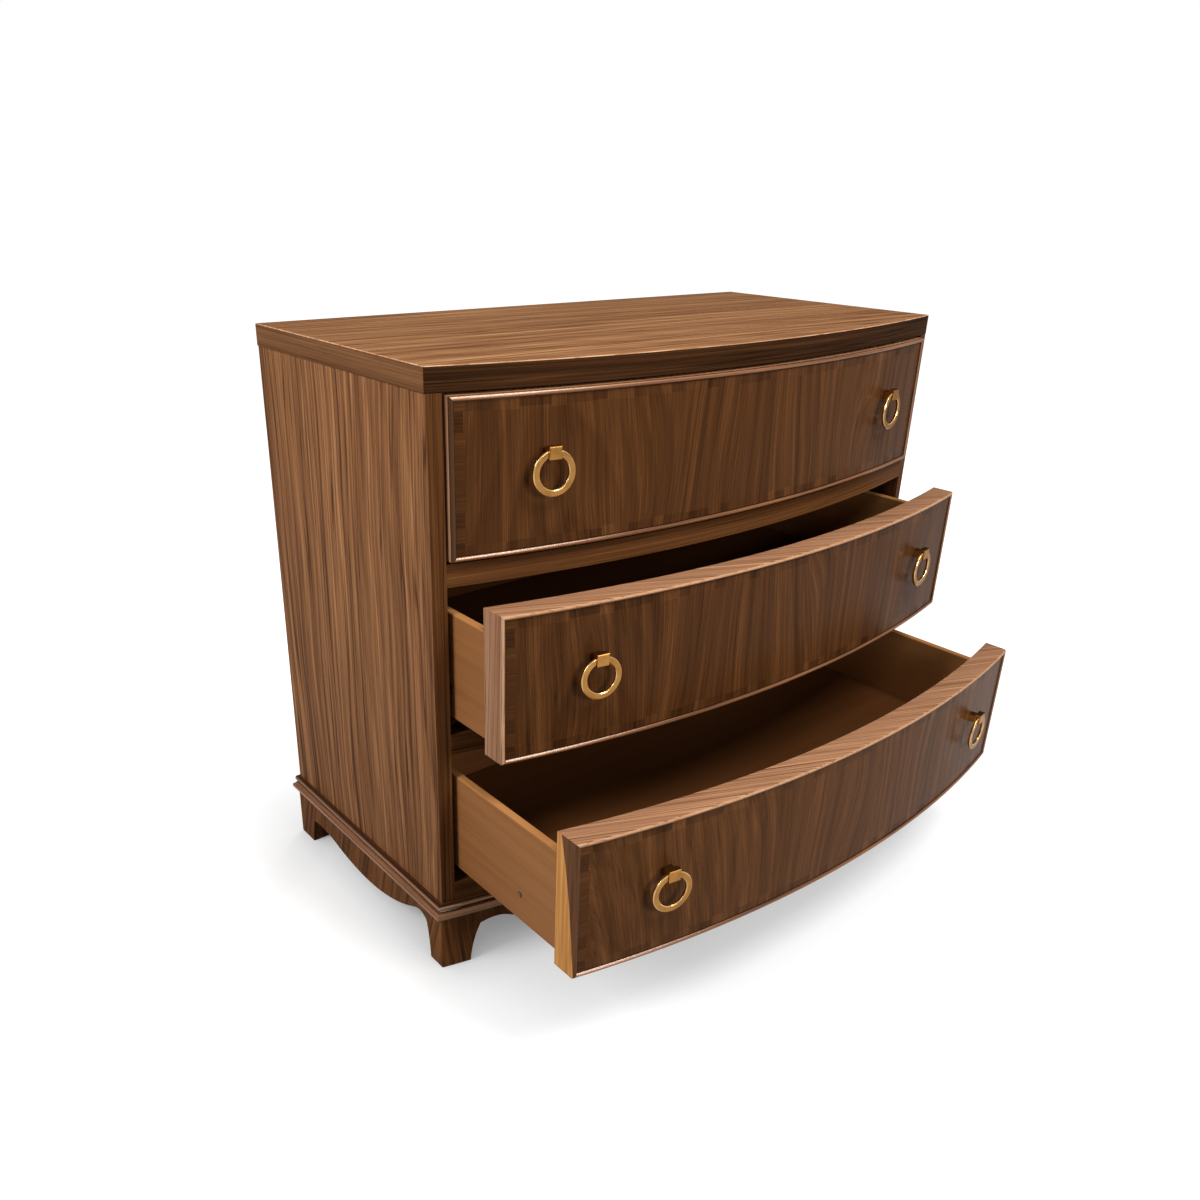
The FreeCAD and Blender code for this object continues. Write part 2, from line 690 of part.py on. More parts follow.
def run_of_sheet(name, sections, back):
    """Bent sheet members, drawn in section and run back over the length of a slide."""
    body = new_body(name)
    sketch = new_sketch(body, "XZ_Plane", sections, offset=-size("slide_setback"))
    pad(body, sketch, SLIDE_LENGTH, reverse=True)
    place(body, back=back)
    return body


def raised(section, up):
    """A section moved up."""
    return [Point(point.across, point.up + up) for point in section]


def slide_members(name, steps, drawers, back):
    """The left and right members of the slides of the drawers given."""
    sections = [raised(slide_section(side, steps), opening_floor(drawer))
                for drawer in drawers for side in SIDES.values()]
    return run_of_sheet(name, sections, back)


def case_screws():
    """Pan-head screws: three in each case member, and two up into the top at each stretcher."""
    body = new_body("case_screws")
    low = size("slide_base") + size("slide_flange") / 2 + size("slide_sheet")
    head_face = PANEL_INNER - size("slide_sheet")
    radius = size("screw_radius")
    for side in SIDES.values():
        centres = [Point(size("slide_setback") + share * SLIDE_LENGTH, opening_floor(drawer) + low)
                   for drawer in DRAWERS for share in SLIDE_SCREW_SHARES]
        inward = side > 0
        shanks = new_sketch(body, "YZ_Plane", circles=[(centre, radius) for centre in centres],
                            offset=side * head_face)
        pad(body, shanks, size("slide_sheet") + size("screw_length"), reverse=not inward)
        heads = new_sketch(body, "YZ_Plane", offset=side * head_face,
                           circles=[(centre, size("screw_head_radius")) for centre in centres])
        pad(body, heads, size("screw_head_height"), reverse=inward)
    half = size("stretcher_width") / 2
    front = size("stile_depth") + size("stretcher_setback") + half
    under = CARCASE_TOP - size("stretcher_thickness")
    centres = [Point(side * STRETCHER_SCREW_SHARE * PANEL_INNER, back)
               for side in SIDES.values() for back in (front, BACK_FACE - half)]
    shanks = new_sketch(body, "XY_Plane", circles=[(centre, radius) for centre in centres], offset=under)
    pad(body, shanks, size("stretcher_thickness") + size("screw_length"))
    heads = new_sketch(body, "XY_Plane", offset=under,
                       circles=[(centre, size("screw_head_radius")) for centre in centres])
    pad(body, heads, size("screw_head_height"), reverse=True)
    place(body)
    return body


def drawer_base(drawer):
    """The height of the lower edge of a drawer front."""
    return opening_floor(drawer) + size("gap_below")


def drawer_front(drawer):
    """A bowed drawer front, rebated all round for its bead."""
    body = new_body(f"drawer_{drawer}_front")
    rebate = size("front_proud") - size("bead_depth")
    pad(body, new_sketch(body, "XY_Plane", [curved_plan(FRONT_HALF, rebate, FRONT_BACK)]), FRONT_HEIGHT)
    bead = size("bead_width")
    core = rebate - size("bead_depth") / 2
    face = new_sketch(body, "XY_Plane", [curved_plan(FRONT_HALF - bead, VENEER, core)], offset=bead)
    pad(body, face, FRONT_HEIGHT - 2 * bead)
    place(body, back=-DRAWER_OPEN[drawer], up=drawer_base(drawer))
    return body


def mitre_slot(side, outer_up, inner_up):
    """A fine slot across one corner of a bead."""
    half = size("mitre_gap") / 2
    outer = side * FRONT_HALF
    inner = side * (FRONT_HALF - size("bead_width"))
    return [Point(outer - half, outer_up), Point(outer + half, outer_up), Point(inner + half, inner_up),
            Point(inner - half, inner_up)]


def drawer_bead(drawer):
    """Four mitred lengths of bevelled bead let into the edge of a drawer front."""
    body = new_body(f"drawer_{drawer}_bead")
    bead = size("bead_width")
    proud = size("front_proud")
    seat = proud - size("bead_depth") + size("glue_line")
    pad(body, new_sketch(body, "XY_Plane", [curved_plan(FRONT_HALF, proud, seat)]), FRONT_HEIGHT)
    inner = FRONT_HALF - bead
    window = new_sketch(body, "XZ_Plane", [rectangle(-inner, inner, bead, FRONT_HEIGHT - bead)])
    pocket(body, window, size("case_depth"), both_ways=True)
    nose = BOW_RADIUS.value + proud.value
    soften(body, "Chamfer", size("bead_bevel"),
           lambda face: isinstance(face.Surface, Part.Cylinder)
           and abs(face.Surface.Radius - nose) < size("bead_bevel").value)
    top = FRONT_HEIGHT
    slots = [mitre_slot(side, outer, middle) for side in SIDES.values()
             for outer, middle in ((ZERO, bead), (top, top - bead))]
    pocket(body, new_sketch(body, "XZ_Plane", slots), size("case_depth"), both_ways=True)
    place(body, back=-DRAWER_OPEN[drawer], up=drawer_base(drawer))
    return body


def drawer_side(drawer, name, side):
    """One side of a drawer box, grooved for the bottom, its front end cut to the bow."""
    body = new_body(f"drawer_{drawer}_side_{name}")
    seat = FRONT_BACK - size("glue_line")
    middle = (BOX_OUTER + BOX_INNER) / 2
    plan = [Point(side * BOX_INNER, BOX_END), Point(side * BOX_INNER, bow(BOX_INNER, seat)),
            Via(side * middle, bow(middle, seat)), Point(side * BOX_OUTER, bow(BOX_OUTER, seat)),
            Point(side * BOX_OUTER, BOX_END)]
    pad(body, new_sketch(body, "XY_Plane", [plan]), BOX_HEIGHT)
    low = size("drawer_bottom_raise")
    high = low + size("drawer_bottom_thickness") + size("groove_play")
    deep = BOX_INNER + size("groove_depth")
    groove = new_sketch(body, "XZ_Plane", [rectangle(side * BOX_INNER, side * deep, low, high)])
    pocket(body, groove, 2 * size("case_depth"), both_ways=True)
    place(body, back=-DRAWER_OPEN[drawer], up=drawer_base(drawer) + size("box_raise"))
    return body


def drawer_back(drawer):
    """The back of a drawer box, standing on the drawer bottom between the sides."""
    plan = rectangle(-BOX_INNER, BOX_INNER, BOX_END - size("box_wall"), BOX_END)
    bottom = size("drawer_bottom_raise") + size("drawer_bottom_thickness")
    up = drawer_base(drawer) + size("box_raise") + bottom
    return board(f"drawer_{drawer}_back", [plan], BOX_HEIGHT - bottom, up, -DRAWER_OPEN[drawer])


def drawer_bottom(drawer):
    """The bottom of a drawer box, held in the grooves of its sides."""
    half = BOX_INNER + size("groove_depth") - size("groove_play")
    plan = bowed_plan(half, FRONT_BACK - size("glue_line"), BOX_END)
    up = drawer_base(drawer) + BOTTOM_RAISE
    return board(f"drawer_{drawer}_bottom", [plan], size("drawer_bottom_thickness"), up,
                 -DRAWER_OPEN[drawer])


def slide_clips(drawer):
    """Two clips that lock the drawer members to the back of the drawer front."""
    seat = FRONT_BACK - size("glue_line")
    near, far = carrier_span()
    start = PANEL_INNER - far + size("slide_sheet") + size("slide_play")
    finish = start - size("clip_width")
    middle = (start + finish) / 2
    plans = []
    for side in SIDES.values():
        end = bow(finish, seat) + size("clip_length")
        plans.append([Point(side * start, end), Point(side * start, bow(start, seat)),
                      Via(side * middle, bow(middle, seat)), Point(side * finish, bow(finish, seat)),
                      Point(side * finish, end)])
    up = drawer_base(drawer) + BOTTOM_RAISE - size("clip_height")
    return board(f"drawer_{drawer}_slide_clips", plans, size("clip_height"), up, -DRAWER_OPEN[drawer])


def place_pull(piece, drawer, side):
    """Set a pull square to the bow at its place on a drawer front, ring centre at its origin."""
    across = size("pull_place")
    turn = turn_of(across / (BOW_RADIUS + VENEER))
    up = drawer_base(drawer) + FRONT_HEIGHT - size("pull_drop")
    place(piece, side * across, bow(across, VENEER) - DRAWER_OPEN[drawer], up, side * turn)


def pull_post(drawer, name, side):
    """A post: a stem from the drawer front and a strap bored for the pin of the ring."""
    body = new_body(f"drawer_{drawer}_post_{name}")
    pin = size("ring_pin_rise")
    stem_half = size("stem_width") / 2
    strap_half = size("strap_width") / 2
    strap_back = size("strap_front") - size("strap_depth")
    stem = rectangle(-stem_half, stem_half, pin - size("stem_height") / 2, pin + size("stem_height") / 2)
    pad(body, new_sketch(body, "XZ_Plane", [stem]), strap_back)
    high = pin + size("strap_above")
    strap = rectangle(-strap_half, strap_half, high - size("strap_height"), high)
    pad(body, new_sketch(body, "XZ_Plane", [strap], offset=strap_back), size("strap_depth"))
    soften(body, "Chamfer", size("strap_bevel"),
           lambda face: face.CenterOfMass.y < -size("strap_front").value + size("strap_bevel").value)
    bore = [(Point(-size("ring_stand"), pin), size("ring_pin_radius") + size("pin_play"))]
    pocket(body, new_sketch(body, "YZ_Plane", circles=bore), 2 * size("strap_width"), both_ways=True)
    place_pull(body, drawer, side)
    return body


def pull_bolt(drawer, name, side):
    """The bolt that holds a post from inside the drawer."""
    body = new_body(f"drawer_{drawer}_bolt_{name}")
    centre = Point(ZERO, size("ring_pin_rise"))
    through = VENEER - FRONT_BACK
    shank = new_sketch(body, "XZ_Plane", circles=[(centre, size("bolt_radius"))])
    pad(body, shank, through, reverse=True)
    head = new_sketch(body, "XZ_Plane", circles=[(centre, size("bolt_head_radius"))], offset=-through)
    pad(body, head, size("bolt_head_height"), reverse=True)
    place_pull(body, drawer, side)
    return body


def pull_posts(drawer):
    """The posts and bolts of the two pulls of a drawer."""
    group = document.addObject("Part::Compound", f"drawer_{drawer}_pull_posts")
    group.Label = group.Name
    group.Links = [make(drawer, name, side) for name, side in SIDES.items()
                   for make in (pull_post, pull_bolt)]
    return group


def pull_ring(drawer, name, side):
    """A flat bevelled ring that hangs by a pin through its strap."""
    body = new_body(f"drawer_{drawer}_ring_{name}")
    outer = size("ring_radius")
    inner = outer - size("ring_band")
    gap = size("strap_width") / 2 + size("pin_play")
    outer_up = root(outer * outer - gap * gap)
    inner_up = root(inner * inner - gap * gap)
    band = [Point(-gap, outer_up), Via(ZERO, -outer), Point(gap, outer_up),
            Point(gap, inner_up), Via(ZERO, -inner), Point(-gap, inner_up)]
    back = size("ring_stand") - size("ring_thickness") / 2
    pad(body, new_sketch(body, "XZ_Plane", [band], offset=back), size("ring_thickness"))
    soften(body, "Chamfer", size("ring_bevel"), lambda face: abs(face.normalAt(0, 0).y) > QUARTER_ROUND_SHARE)
    pin = [(Point(-size("ring_stand"), size("ring_pin_rise")), size("ring_pin_radius"))]
    pad(body, new_sketch(body, "YZ_Plane", circles=pin), 2 * (gap + size("ring_pin_embed")), both_ways=True)
    place_pull(body, drawer, side)
    return body


def drawer_screws(drawer):
    """One screw in each drawer side, and three up through each drawer member."""
    body = new_body(f"drawer_{drawer}_screws")
    seat = bow(BOX_OUTER, FRONT_BACK)
    radius = size("screw_radius")
    head_radius = size("screw_head_radius")
    centre = Point(seat + size("box_screw_back"), size("box_raise") + size("box_screw_rise"))
    for side in SIDES.values():
        outward = side > 0
        shank = new_sketch(body, "YZ_Plane", circles=[(centre, radius)], offset=side * BOX_OUTER)
        pad(body, shank, size("screw_length"), reverse=outward)
        head = new_sketch(body, "YZ_Plane", circles=[(centre, head_radius)], offset=side * BOX_OUTER)
        pad(body, head, size("screw_head_height"), reverse=not outward)
    near, far = carrier_span()
    middle = PANEL_INNER - (near + far) / 2
    under = BOTTOM_RAISE - size("slide_sheet")
    centres = [Point(side * middle, size("slide_setback") + share * SLIDE_LENGTH)
               for side in SIDES.values() for share in SLIDE_SCREW_SHARES]
    up = new_sketch(body, "XY_Plane", circles=[(at, radius) for at in centres], offset=under)
    pad(body, up, size("slide_sheet") + size("short_screw_length"))
    place(body, back=-DRAWER_OPEN[drawer], up=drawer_base(drawer))
    return body


def build_case():
    """Every piece of the case, from the top down."""
    upper_rail = opening_floor("1") - size("rail_height")
    lower_rail = opening_floor("2") - size("rail_height")
    pieces = [top_panel(), top_stretchers(), bottom_panel(), back_panel(),
              rail("rail_upper", size("rail_height"), upper_rail),
              rail("rail_lower", size("rail_height"), lower_rail),
              rail("rail_bottom", size("moulding_height") + size("bottom_rail_height"), CARCASE_BASE),
              moulding_front(), apron_front(), rear_brackets(), corner_blocks(),
              slide_members("slide_case_members", case_member_steps(), DRAWERS, ZERO), case_screws()]
    for name, side in SIDES.items():
        pieces += [side_panel(name, side), stile(name, side), moulding_side(name, side),
                   apron_side(name, side)]
    return pieces


def build_drawer(drawer):
    """Every piece of one drawer, its slides and its rings, where the drawer stands."""
    opened = DRAWER_OPEN[drawer]
    near, far = carrier_span()
    low = carrier_floor()
    carrier = channel_steps(near, far, low, low + size("carrier_height"))
    pieces = [drawer_front(drawer), drawer_bead(drawer), drawer_back(drawer), drawer_bottom(drawer),
              slide_members(f"drawer_{drawer}_slide_members", drawer_member_steps(), [drawer], -opened),
              slide_members(f"drawer_{drawer}_slide_carriers", carrier, [drawer], -opened / 2),
              slide_clips(drawer), pull_posts(drawer), drawer_screws(drawer)]
    for name, side in SIDES.items():
        pieces += [drawer_side(drawer, name, side), pull_ring(drawer, name, side)]
    return pieces


def check_document():
    """Stop if anything in the document failed."""
    failed = [item.Label for item in document.Objects
              if "Invalid" in item.State or "Error" in item.State]
    if failed:
        raise RuntimeError("failed: " + ", ".join(failed))


def export(pieces):
    """Write each sub-part to its own file, named by its label."""
    os.makedirs("parts", exist_ok=True)
    for piece in pieces:
        shape = piece.Shape
        if shape.isNull() or not shape.isValid():
            raise RuntimeError("bad shape: " + piece.Label)
        shape.exportStep(f"parts/{piece.Label}.step")


pieces = build_case()
for drawer in DRAWERS:
    pieces += build_drawer(drawer)
document.recompute()
check_document()
export(pieces)
print(len(pieces), "sub-parts,", sum(len(piece.Shape.Solids) for piece in pieces), "solids")
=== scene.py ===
# %% [markdown]
# # A bow-fronted walnut chest, dressed over its frame
# The frame holds every solid of the chest, in metres, with the drawers standing as they do in the
# picture. This lesson lays the visible woodwork over those solids, mixes the walnut, the drawer wood
# and the brass, and sets the light and the camera. Each piece rides on the solid's own body, so the
# drawers still run and the rings still swing.

import bpy
import numpy as np
from mathutils import Euler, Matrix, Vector


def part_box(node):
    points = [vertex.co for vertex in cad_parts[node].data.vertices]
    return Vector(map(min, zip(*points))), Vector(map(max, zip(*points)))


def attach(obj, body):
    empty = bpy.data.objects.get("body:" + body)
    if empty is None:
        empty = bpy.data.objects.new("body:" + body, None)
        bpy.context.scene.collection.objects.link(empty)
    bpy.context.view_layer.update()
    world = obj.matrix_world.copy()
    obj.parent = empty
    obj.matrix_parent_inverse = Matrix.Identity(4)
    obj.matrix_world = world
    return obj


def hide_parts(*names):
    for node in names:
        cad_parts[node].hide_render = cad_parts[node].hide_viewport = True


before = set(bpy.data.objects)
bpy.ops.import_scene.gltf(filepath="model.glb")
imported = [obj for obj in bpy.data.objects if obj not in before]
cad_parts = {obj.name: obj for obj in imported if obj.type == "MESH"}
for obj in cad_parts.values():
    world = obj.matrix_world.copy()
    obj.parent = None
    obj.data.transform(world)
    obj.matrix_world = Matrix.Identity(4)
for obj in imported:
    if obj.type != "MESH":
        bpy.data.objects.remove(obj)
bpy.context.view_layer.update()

# %% [markdown]
# ## The bow
# The front of the chest is one shallow arc. Rails, stiles, drawer fronts, edging, moulding and base
# board all follow it, each a little further out or in, so one function of the distance from the
# middle serves them all. The sizes are read off the frame wherever a solid gives them.

# %% The arc that every front piece follows
SIDE_LOW, SIDE_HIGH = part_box("side_panel_right")
HALF_WIDTH = SIDE_HIGH.x
CORNER_Y = SIDE_LOW.y - 0.022
BACK_Y = SIDE_HIGH.y
BOW_RISE = 0.066
BOW_RADIUS = (HALF_WIDTH ** 2 + BOW_RISE ** 2) / (2 * BOW_RISE)


def bow(across, outward=0.0):
    """y of the front: a circle about a centre behind the chest, its radius grown by outward."""
    centre = CORNER_Y + BOW_RADIUS - BOW_RISE
    return centre - np.sqrt((BOW_RADIUS + outward) ** 2 - np.square(across))


print("bow of", round(BOW_RISE * 1000), "mm on a radius of", round(BOW_RADIUS, 3), "m")

# %% Where each drawer stands
DRAWERS = (1, 2, 3)
closed_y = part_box("drawer_1_front")[0].y
OPENED = {drawer: closed_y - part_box(f"drawer_{drawer}_front")[0].y for drawer in DRAWERS}
FRONT_LOW = {drawer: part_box(f"drawer_{drawer}_front")[0].z for drawer in DRAWERS}
FRONT_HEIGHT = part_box("drawer_1_front")[1].z - FRONT_LOW[1]
print("drawers stand open by", {drawer: round(gap, 3) for drawer, gap in OPENED.items()})

# %% [markdown]
# ## Shader arithmetic
# A wood finish is mostly arithmetic on places: stretch them along the grain, measure the distance to
# the heart of the tree, take the remainder, mix tones. A small class that carries a socket lets that
# be written as plain sums, and each sum adds its own node.

# %% A wire that can be added, scaled and fed to other nodes
class Wire:
    """A number, colour or vector on its way between nodes; sums and products add Math nodes."""

    def __init__(self, tree, socket=None):
        self.tree = tree
        self.socket = socket

    def node(self, kind, settings=None, values=None, output=0):
        """Add one node: settings first, then numbers or wires for its sockets; return one output."""
        made = self.tree.nodes.new("ShaderNode" + kind)
        for name, choice in (settings or {}).items():
            if name == "stops":
                lay_stops(made.color_ramp, choice)
            else:
                setattr(made, name, choice)
        for name, value in (values or {}).items():
            if isinstance(value, Wire):
                self.tree.links.new(value.socket, made.inputs[name])
            else:
                made.inputs[name].default_value = value
        return Wire(self.tree, made.outputs[output])

    def maths(self, operation, *values):
        """One Math node on this wire and the values."""
        return self.node("Math", {"operation": operation}, dict(enumerate((self, *values))))

    def __add__(self, other):
        return self.maths("ADD", other)

    def __radd__(self, other):
        return self + other

    def __sub__(self, other):
        return self.maths("SUBTRACT", other)

    def __rsub__(self, other):
        return self * -1.0 + other

    def __mul__(self, other):
        return self.maths("MULTIPLY", other)

    def __rmul__(self, other):
        return self * other


def lay_stops(ramp, stops):
    """Put colours on a ramp at their places from 0 to 1."""
    for place, colour in stops[2:]:
        ramp.elements.new(place).color = colour
    for element, (place, colour) in zip(ramp.elements, sorted(stops, key=lambda stop: stop[0])):
        element.position = place
        element.color = colour


# %% Tones, steps, mixtures and clouds
def tone(red, green, blue):
    """A colour as it looks on screen, 0 to 255, in the linear numbers that shaders use."""
    share = np.array([red, green, blue]) / 255.0
    linear = np.where(share <= 0.04045, share / 12.92, ((share + 0.055) / 1.055) ** 2.4)
    return (*map(float, linear), 1.0)


def step(value, low, high):
    """A soft step from 0 below low to 1 above high."""
    return value.node("MapRange", {"interpolation_type": "SMOOTHSTEP"},
                      {"Value": value, "From Min": low, "From Max": high})


def mixed(first, second, share):
    """Two colours mixed: all first where share is 0, all second where it is 1."""
    settings = {"data_type": "RGBA"}
    wire = next(item for item in (share, first, second) if isinstance(item, Wire))
    return wire.node("Mix", settings, {0: share, 6: first, 7: second}, output=2)


def cloud(wire, place, detail=2.0, roughness=0.5):
    """Smooth noise about 0, from roughly -0.5 to 0.5, at a stretched place."""
    made = wire.node("TexNoise", {"noise_dimensions": "3D"},
                     {"Vector": place, "Scale": 1.0, "Detail": detail, "Roughness": roughness})
    return made - 0.5


def stretched(parts, rates, seed=0.0):
    """A place whose three parts are scaled by their rates; seed moves it to fresh noise."""
    scaled = [part * rate + seed for part, rate in zip(parts, rates)]
    return parts[0].node("CombineXYZ", values=dict(enumerate(scaled)))


# %% [markdown]
# ## Where a finish is
# A sawn board reads the object's own place, with its axes put in the order along, across and into the
# grain. A bar that is bent round the chest reads a map of the lengths along and round it instead, so
# that the grain follows the bend.

# %% Where a finish is on its piece
def object_parts(wire, order):
    """The object's own x, y and z, in the order along, across and into the grain."""
    where = wire.node("TexCoord", output="Object")
    parts = {axis: where.node("SeparateXYZ", values={"Vector": where}, output=number)
             for number, axis in enumerate("xyz")}
    return [parts[axis] for axis in order]


def map_parts(wire, name):
    """The two numbers of a map that the piece carries itself."""
    where = wire.node("UVMap", {"uv_map": name})
    return [where.node("SeparateXYZ", values={"Vector": where}, output=number) for number in (0, 1)]


def laid_parts(wire):
    """The lengths along and round a bar; the depth into it is taken as a share of the second."""
    along, around = map_parts(wire, "lay")
    return [along, around, around * 0.3]


# %% [markdown]
# ## The coat
# Every wood and metal here is one polished surface. Its colour, gloss and relief vary from place to
# place, while the strength and the tint of its shine are even. Dark walnut under old polish shines
# faintly and warmly: a strong white shine would lie over it like fog. So the shine is weak and tinted
# towards the wood, a little stronger and rosier on the rubbed beads, and plain on metal.

# %% Start a material, coat it and show it
WARM = (1.0, 0.72, 0.48, 1.0)
ROSY = (1.0, 0.84, 0.7, 1.0)
PLAIN = (1.0, 1.0, 1.0, 1.0)
RELIEF_HEIGHT = 0.0004


def new_finish(name):
    """An empty material, and a wire to start its nodes from."""
    finish = bpy.data.materials.new(name)
    finish.use_nodes = True
    finish.node_tree.nodes.clear()
    return finish, Wire(finish.node_tree)


def lacquer(wire, colour, roughness, relief, depth, shine=0.06, tint=WARM, metal=0.0):
    """The surface itself: colour, roughness and relief vary; its shine and the tint of that are even."""
    bump = wire.node("Bump", values={"Height": relief, "Strength": depth, "Distance": RELIEF_HEIGHT})
    surface = wire.node("BsdfPrincipled", values={
        "Base Color": colour, "Roughness": roughness, "Normal": bump, "Metallic": metal,
        "Specular IOR Level": shine, "Specular Tint": tint})
    show(wire, surface)


def show(wire, surface):
    """Send a finished shader to the material's output."""
    output = wire.tree.nodes.new("ShaderNodeOutputMaterial")
    wire.tree.links.new(surface.socket, output.inputs["Surface"])


# %% [markdown]
# ## Walnut
# Sliced walnut shows broad zones of golden and greyish brown, narrow streaks inside them, and thin
# light and dark lines where growth rings meet the face. All of it runs with the grain and sways a
# little. The finish first sways the place, then adds these layers from broad to fine, each one smooth
# noise that is stretched along the grain. Faint rings round a leaning heart give the long arches.

# %% The layers of a walnut board
def thin_lines(parts, rates, breadth, seed):
    """1 on the lines where smooth noise crosses zero, falling to 0 at breadth on either side."""
    ridge = cloud(parts[0], stretched(parts, rates, seed), 1.0).maths("ABSOLUTE")
    return 1.0 - step(ridge, 0.0, breadth)


def ring_arches(parts, ring, heart, lean, seed):
    """Late wood: the distance to a leaning heart over the breadth of a ring, without its whole part."""
    along, across, deep = parts
    aside, under = across + heart[0], deep + along * lean + heart[1]
    distance = (aside * aside + under * under).maths("SQRT")
    uneven = cloud(distance, stretched(parts, (1.0, 9.0, 9.0), seed), 1.0)
    turn = (distance * (1.0 / ring) + uneven * 3.0).maths("FRACT")
    return step(turn, 0.1, 0.85) * (1.0 - step(turn, 0.85, 1.0))


FIBRE_RATE, PORE_RATE = 520.0, 900.0


def walnut_shade(parts, fine, zone, streak, line, arch, seed):
    """From 0 dark to 1 light, and the relief. Fine is the number of streaks in a metre, and zone, streak
    and line are the weights of their layers; arch is the darkness of the late wood, already weighed."""
    zones = cloud(parts[0], stretched(parts, (0.9, fine * 0.2, fine * 0.2), seed + 3.0), 1.0)
    streaks = cloud(parts[0], stretched(parts, (1.3, fine, fine), seed + 11.0), 3.0, 0.7)
    pale = thin_lines(parts, (0.9, fine * 0.3, fine * 0.3), 0.03, seed + 17.0)
    dark = thin_lines(parts, (1.0, fine * 0.5, fine * 0.5), 0.03, seed + 23.0)
    fibres = cloud(parts[0], stretched(parts, (9.0, FIBRE_RATE, FIBRE_RATE), seed), 2.0, 0.6)
    pitted = cloud(parts[0], stretched(parts, (42.0, PORE_RATE, PORE_RATE), seed + 5.0), 1.0)
    pores = step(pitted, 0.12, 0.26)
    shade = zones * zone + streaks * streak + fibres * 0.5 + 0.5
    ruled = pale * (streaks + 0.5) * line - dark * (0.6 - streaks) * line * 1.5
    return shade + ruled - arch * 0.5 - pores * 0.15, fibres - pores


# %% A walnut finish
def walnut(name, order, tones, fine=150.0, sway=0.008, skew=0.0, zone=0.6, streak=1.3, line=0.45,
           arch=0.2, ring=0.012, heart=(0.3, 0.1), lean=0.1, seed=0.0, soft=0.5, shine=0.04,
           tint=WARM, retone=None):
    """A polished walnut. Tones are its dark, middle and light browns; order names the axes along, across
    and into the grain. Sway and skew bend the grain, ring, heart and lean place the arches, soft is the
    roughness, shine and tint the gloss, and retone may shift the shade before the browns are laid on."""
    finish, wire = new_finish(name)
    along, across, deep = laid_parts(wire) if order == "lay" else object_parts(wire, order)
    swing = cloud(along, stretched((along, across, deep), (2.0, 5.0, 5.0), seed + 31.0), 1.0)
    parts = [along, across + along * skew + swing * sway, deep]
    arches = ring_arches(parts, ring, heart, lean, seed) * arch
    shade, relief = walnut_shade(parts, fine, zone, streak, line, arches, seed)
    if retone:
        shade = retone(wire, shade)
    dark, middle, light = tones
    colour = shade.node("ValToRGB", {"stops": ((0.1, dark), (0.95, light), (0.5, middle))}, {0: shade})
    lacquer(wire, colour, relief * -0.1 + soft, relief, 0.06, shine, tint)
    return finish


# %% [markdown]
# ## The browns
# No two sticks of the chest are quite the same brown. The top and sides are mid brown, the drawer
# fronts and the frame darker, the edging of the fronts pale and rosy, and beads and moulding run from
# nearly black in their hollows, a painted shade, to a light crest, a painted highlight. Each family is a
# dark, a middle and a light tone.

# %% The browns of this chest
def browns(dark, middle, light):
    """The three tones of a walnut, each from its red, green and blue on screen."""
    return tone(*dark), tone(*middle), tone(*light)


TOP_TONES = browns((94, 56, 30), (149, 103, 66), (192, 144, 98))
SIDE_TONES = browns((80, 48, 27), (133, 89, 57), (180, 129, 86))
SLAB_TONES = browns((76, 47, 27), (113, 75, 47), (144, 101, 68))
LIP_AND_SHADED_BEAD_TONES = browns((32, 17, 7), (53, 31, 15), (82, 51, 28))
FRONT_TONES = browns((42, 22, 9), (82, 49, 24), (122, 78, 44))
FRAME_TONES = browns((50, 28, 12), (89, 54, 28), (124, 80, 45))
EDGE_TONES = browns((104, 68, 44), (154, 110, 80), (190, 145, 109))
UPRIGHT_TONES = browns((114, 76, 52), (166, 122, 92), (200, 156, 122))
ARRIS_HIGHLIGHT_TONES = browns((150, 110, 80), (196, 152, 116), (226, 186, 150))
BEAD_TONES = browns((26, 13, 6), (74, 43, 25), (176, 118, 76))
MOULDING_TONES = browns((32, 17, 8), (90, 54, 31), (196, 140, 100))
BASE_TONES = browns((58, 33, 14), (110, 68, 37), (146, 95, 55))
print("middle brown of the top in linear numbers:", np.round(TOP_TONES[1][:3], 3))

# %% [markdown]
# ## Cross-banding
# Inside its edging, each drawer front has a narrow border of short veneer blocks laid across the edge.
# The blocks differ a little in tone and in depth. Measured from the edges of the front, a place is in
# the border where its distance is less than the depth of its own block, and the number of the block is
# the place along the edge over the breadth of a block, without its remainder. The fronts also carry a
# few pin knots, and the lower one is made a little paler.

# %% Shade the border of a drawer front
EDGING = 0.007
FRONT_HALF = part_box("drawer_1_front")[1].x
PANEL_HALF = FRONT_HALF - EDGING
BAND_DEPTH, DEPTH_SPREAD = 0.0125, 0.004
BLOCK_BREADTH = 0.0205
LOWER_FRONT_LIFT = 0.08


